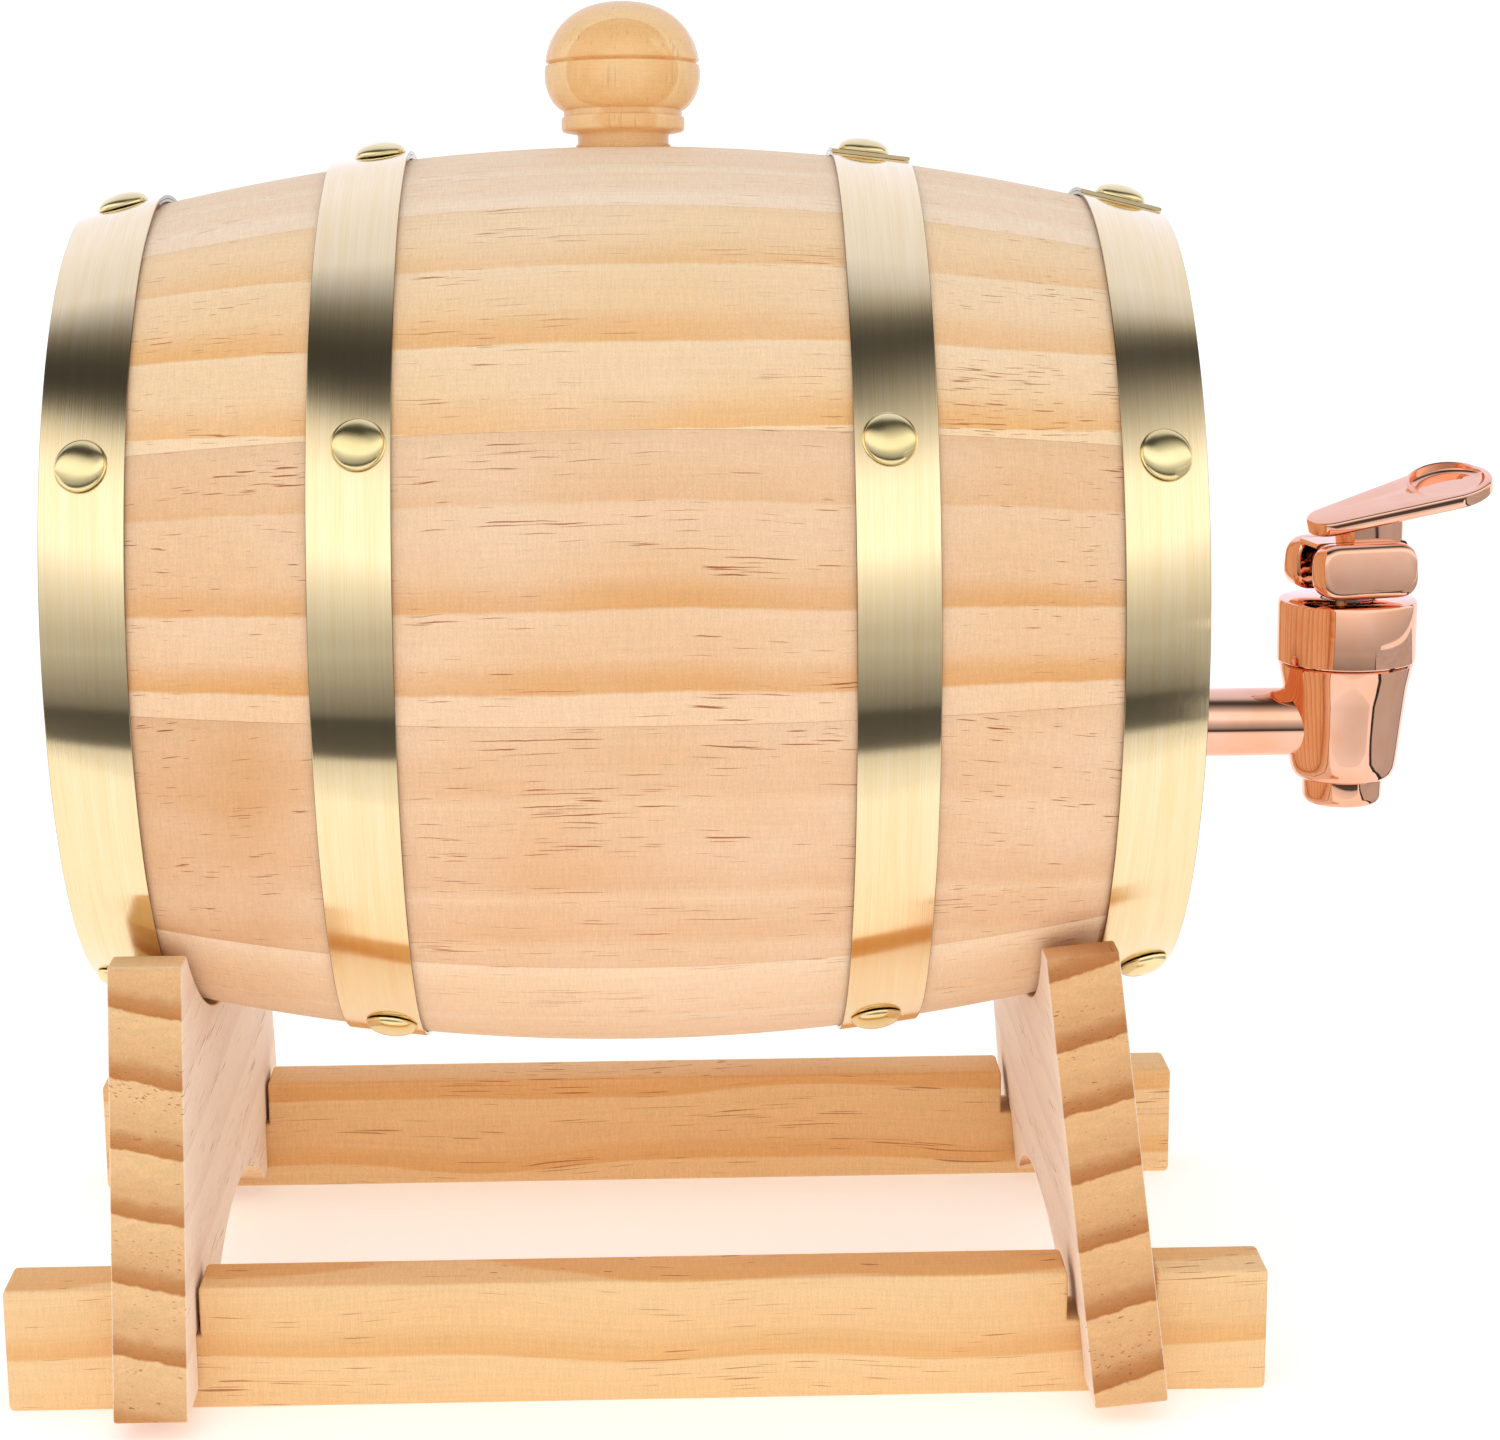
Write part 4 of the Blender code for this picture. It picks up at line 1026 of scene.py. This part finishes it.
def make_floor():
    """A large plain pale floor."""
    bm = bmesh.new()
    bmesh.ops.create_grid(bm, x_segments=2, y_segments=2, size=6.0)
    material, tree = new_material("floor")
    cloud = tree.noise(millimetres(tree), scale=0.01)
    colour = tree.mix(cloud, srgb("fafafa"), srgb("fdfdfd"))
    inputs = {"Base Color": colour, "Roughness": 0.9, "Specular IOR Level": 0.1}
    inputs |= {"Emission Color": (1.0, 1.0, 1.0, 1.0), "Emission Strength": 0.32}
    tree.finish(inputs)
    floor = finish_mesh("floor", bm, material)


# The studio as polished metal sees it: brightness by angle, from the floor (-90) through straight
# ahead (0) to the ceiling (90) and the back (180). A dark gap lies between the soft box in front and
# the bright ceiling. On the right the gap opens more gently.
FRONT_BANDS = ((-180, 0.95), (-90, 0.95), (-1, 0.56), (1, 0.6), (8, 0.82), (13, 1.0), (19, 1.35))
LEFT_GAP = (
    (38, 1.3),
    (46, 1.0),
    (51, 0.8),
    (55, 0.42),
    (59, 0.13),
    (65, 0.045),
    (74, 0.05),
    (80, 0.09),
    (87, 0.22),
    (94, 0.48),
    (104, 0.86),
)
RIGHT_GAP = (
    (36, 1.3),
    (44, 0.9),
    (49, 0.68),
    (55, 0.46),
    (61, 0.27),
    (66, 0.14),
    (71, 0.075),
    (76, 0.07),
    (82, 0.16),
    (87, 0.42),
    (93, 0.7),
    (104, 0.9),
)
BACK_BANDS = ((140, 1.02), (180, 1.1))
STUDIO_PEAK = 1.4
STUDIO_BEND = 0.85
SKY = 0.83
# The light from above and behind is a little cooler.
COOL = (0.97, 1.0, 1.2)
PLAIN = (1.0, 1.0, 1.0)

# The ground in front, as polished metal sees it: brightness by distance (-Y). The bands curve towards
# the barrel at the sides.
GROUND_BANDS = (
    (0.20, 1.05),
    (0.245, 0.92),
    (0.285, 0.74),
    (0.295, 0.1),
    (0.43, 0.07),
    (0.47, 0.2),
    (0.60, 0.3),
    (0.90, 0.42),
    (2.0, 0.55),
)
GROUND_CURVE = 0.65
GROUND_REACH = 2.0
GROUND_CARD = ((-6, -0.20), (0.27, -0.20), (0.32, -0.28), (9.0, -8.0), (-6, -8.0))
GROUND_CARD_LEVEL = 0.0016

# A grey sheet with a dark border on the floor right of the tap, as (x, y). Each layer has a name, a
# height, how far it is drawn in and a brightness.
SIDE_CARD = (
    (0.19, 0.07),
    (0.26, -0.05),
    (0.30, -0.20),
    (0.40, -0.38),
    (0.62, -0.66),
    (2.2, -2.6),
    (2.2, 1.2),
    (0.5, 0.35),
)
SIDE_CARD_LAYERS = (("side_card_border", 0.0020, 0.0, 0.04), ("side_card", 0.0024, 0.022, 0.55))


def show_in_reflections_only(card):
    card.visible_camera = False
    card.visible_diffuse = False
    card.visible_shadow = False


def make_ground_card():
    material, tree = new_material("ground_card")
    x, y, _ = millimetres(tree)
    bend = tree.times(tree.times(x, x), GROUND_CURVE * MM)
    distance = tree.times(tree.math("SUBTRACT", bend, y), MM / GROUND_REACH)
    bands = tree.ramp(distance, [(place / GROUND_REACH, value) for place, value in GROUND_BANDS])
    tree.finish({0: bands, 1: 1.0}, "ShaderNodeEmission")
    show_in_reflections_only(flat_card("ground_card", GROUND_CARD, GROUND_CARD_LEVEL, material))


def make_side_card():
    for name, level, shrink, value in SIDE_CARD_LAYERS:
        material, tree = new_material(name)
        cloud = tree.spread(tree.noise(millimetres(tree), scale=0.004), 0.3, 0.7, value * 0.9, value * 1.1)
        tree.finish({0: tree.vector(cloud, cloud, cloud), 1: 1.0}, "ShaderNodeEmission")
        show_in_reflections_only(flat_card(name, inset(SIDE_CARD, shrink), level, material))


def studio_ramp(tree, place, gap):
    stops = []
    for degrees, value in FRONT_BANDS + gap + BACK_BANDS:
        tint = COOL if degrees > 90 else PLAIN
        stops.append(((degrees + 180) / 360, (*(value * part / STUDIO_PEAK for part in tint), 1.0)))
    return tree.ramp(place, stops)


def make_world():
    """White to the camera, even grey light on the wood and the studio's bands in polished metal."""
    world = bpy.data.worlds.new("studio")
    bpy.context.scene.world = world
    tree = Tree(world)
    x, y, z = tree.split(tree.node("ShaderNodeTexCoord").outputs["Generated"])
    ahead = tree.math("SUBTRACT", tree.times(tree.times(x, x), STUDIO_BEND), y)
    place = tree.plus(tree.math("DIVIDE", tree.math("ARCTAN2", z, ahead), math.tau), 0.5)
    sides = [studio_ramp(tree, place, gap) for gap in (LEFT_GAP, RIGHT_GAP)]
    bands = tree.mix(tree.spread(x, -0.1, 0.2), *sides)
    path = tree.node("ShaderNodeLightPath").outputs
    sky = (*[SKY / STUDIO_PEAK] * 3, 1.0)
    plain = tree.mix(path["Is Camera Ray"], sky, (*PLAIN, 1.0))
    seen = tree.mix(path["Is Glossy Ray"], plain, bands)
    background = tree.node("ShaderNodeBackground", {0: seen, 1: STUDIO_PEAK})
    tree.node("ShaderNodeOutputWorld", {0: background.outputs[0]})


# Each soft light's place, the point it faces, its diameter and its power.
LIGHTS = {
    "key": ((-0.5, -0.9, 1.1), (0, 0, 0.1), 0.8, 1.0),
    "fill": ((0.0, -1.1, 0.12), (0, 0, 0.06), 0.7, 0.7),
}


def make_lights():
    for name, (place, target, size, power) in LIGHTS.items():
        light = bpy.data.lights.new(name, "AREA")
        light.shape = "DISK"
        light.size = size
        light.energy = power
        lamp = bpy.data.objects.new(name, light)
        lamp.location = place
        lamp.rotation_euler = (Vector(target) - Vector(place)).to_track_quat("-Z", "Y").to_euler()
        lamp.visible_glossy = False
        bpy.context.scene.collection.objects.link(lamp)


# The camera, a little above the barrel and turned slightly to the right.
PITCH, YAW, ROLL = 0.24146, 0.03024, -0.00684
CAMERA_PLACE = (AXIS.x + 0.0036, -0.66616, 0.25175)
LENS, SENSOR = 84.0, 36.0
SHIFT = (-0.00336, 0.08425)


def make_camera():
    forward = Vector((math.sin(YAW) * math.cos(PITCH), math.cos(YAW) * math.cos(PITCH), -math.sin(PITCH)))
    right = Vector((math.cos(YAW), -math.sin(YAW), 0))
    up = right.cross(forward)
    across = right * math.cos(ROLL) + up * math.sin(ROLL)
    upward = up * math.cos(ROLL) - right * math.sin(ROLL)
    turn = Matrix((across, upward, -forward)).transposed()
    camera = bpy.data.cameras.new("camera")
    camera.sensor_width = SENSOR
    camera.lens = LENS
    camera.shift_x, camera.shift_y = SHIFT
    camera.clip_start = 0.01
    obj = bpy.data.objects.new("camera", camera)
    obj.matrix_world = Matrix.Translation(CAMERA_PLACE) @ turn.to_4x4()
    bpy.context.scene.collection.objects.link(obj)
    bpy.context.scene.camera = obj


def main():
    make_staves()
    make_heads()
    make_hoops()
    make_nails()
    make_bung()
    make_tap()
    make_lever()
    dress_inner_pieces()
    make_rails()
    make_boards()
    make_floor()
    make_world()
    make_ground_card()
    make_side_card()
    make_lights()
    make_camera()
    bpy.context.scene.view_settings.view_transform = "Standard"


main()
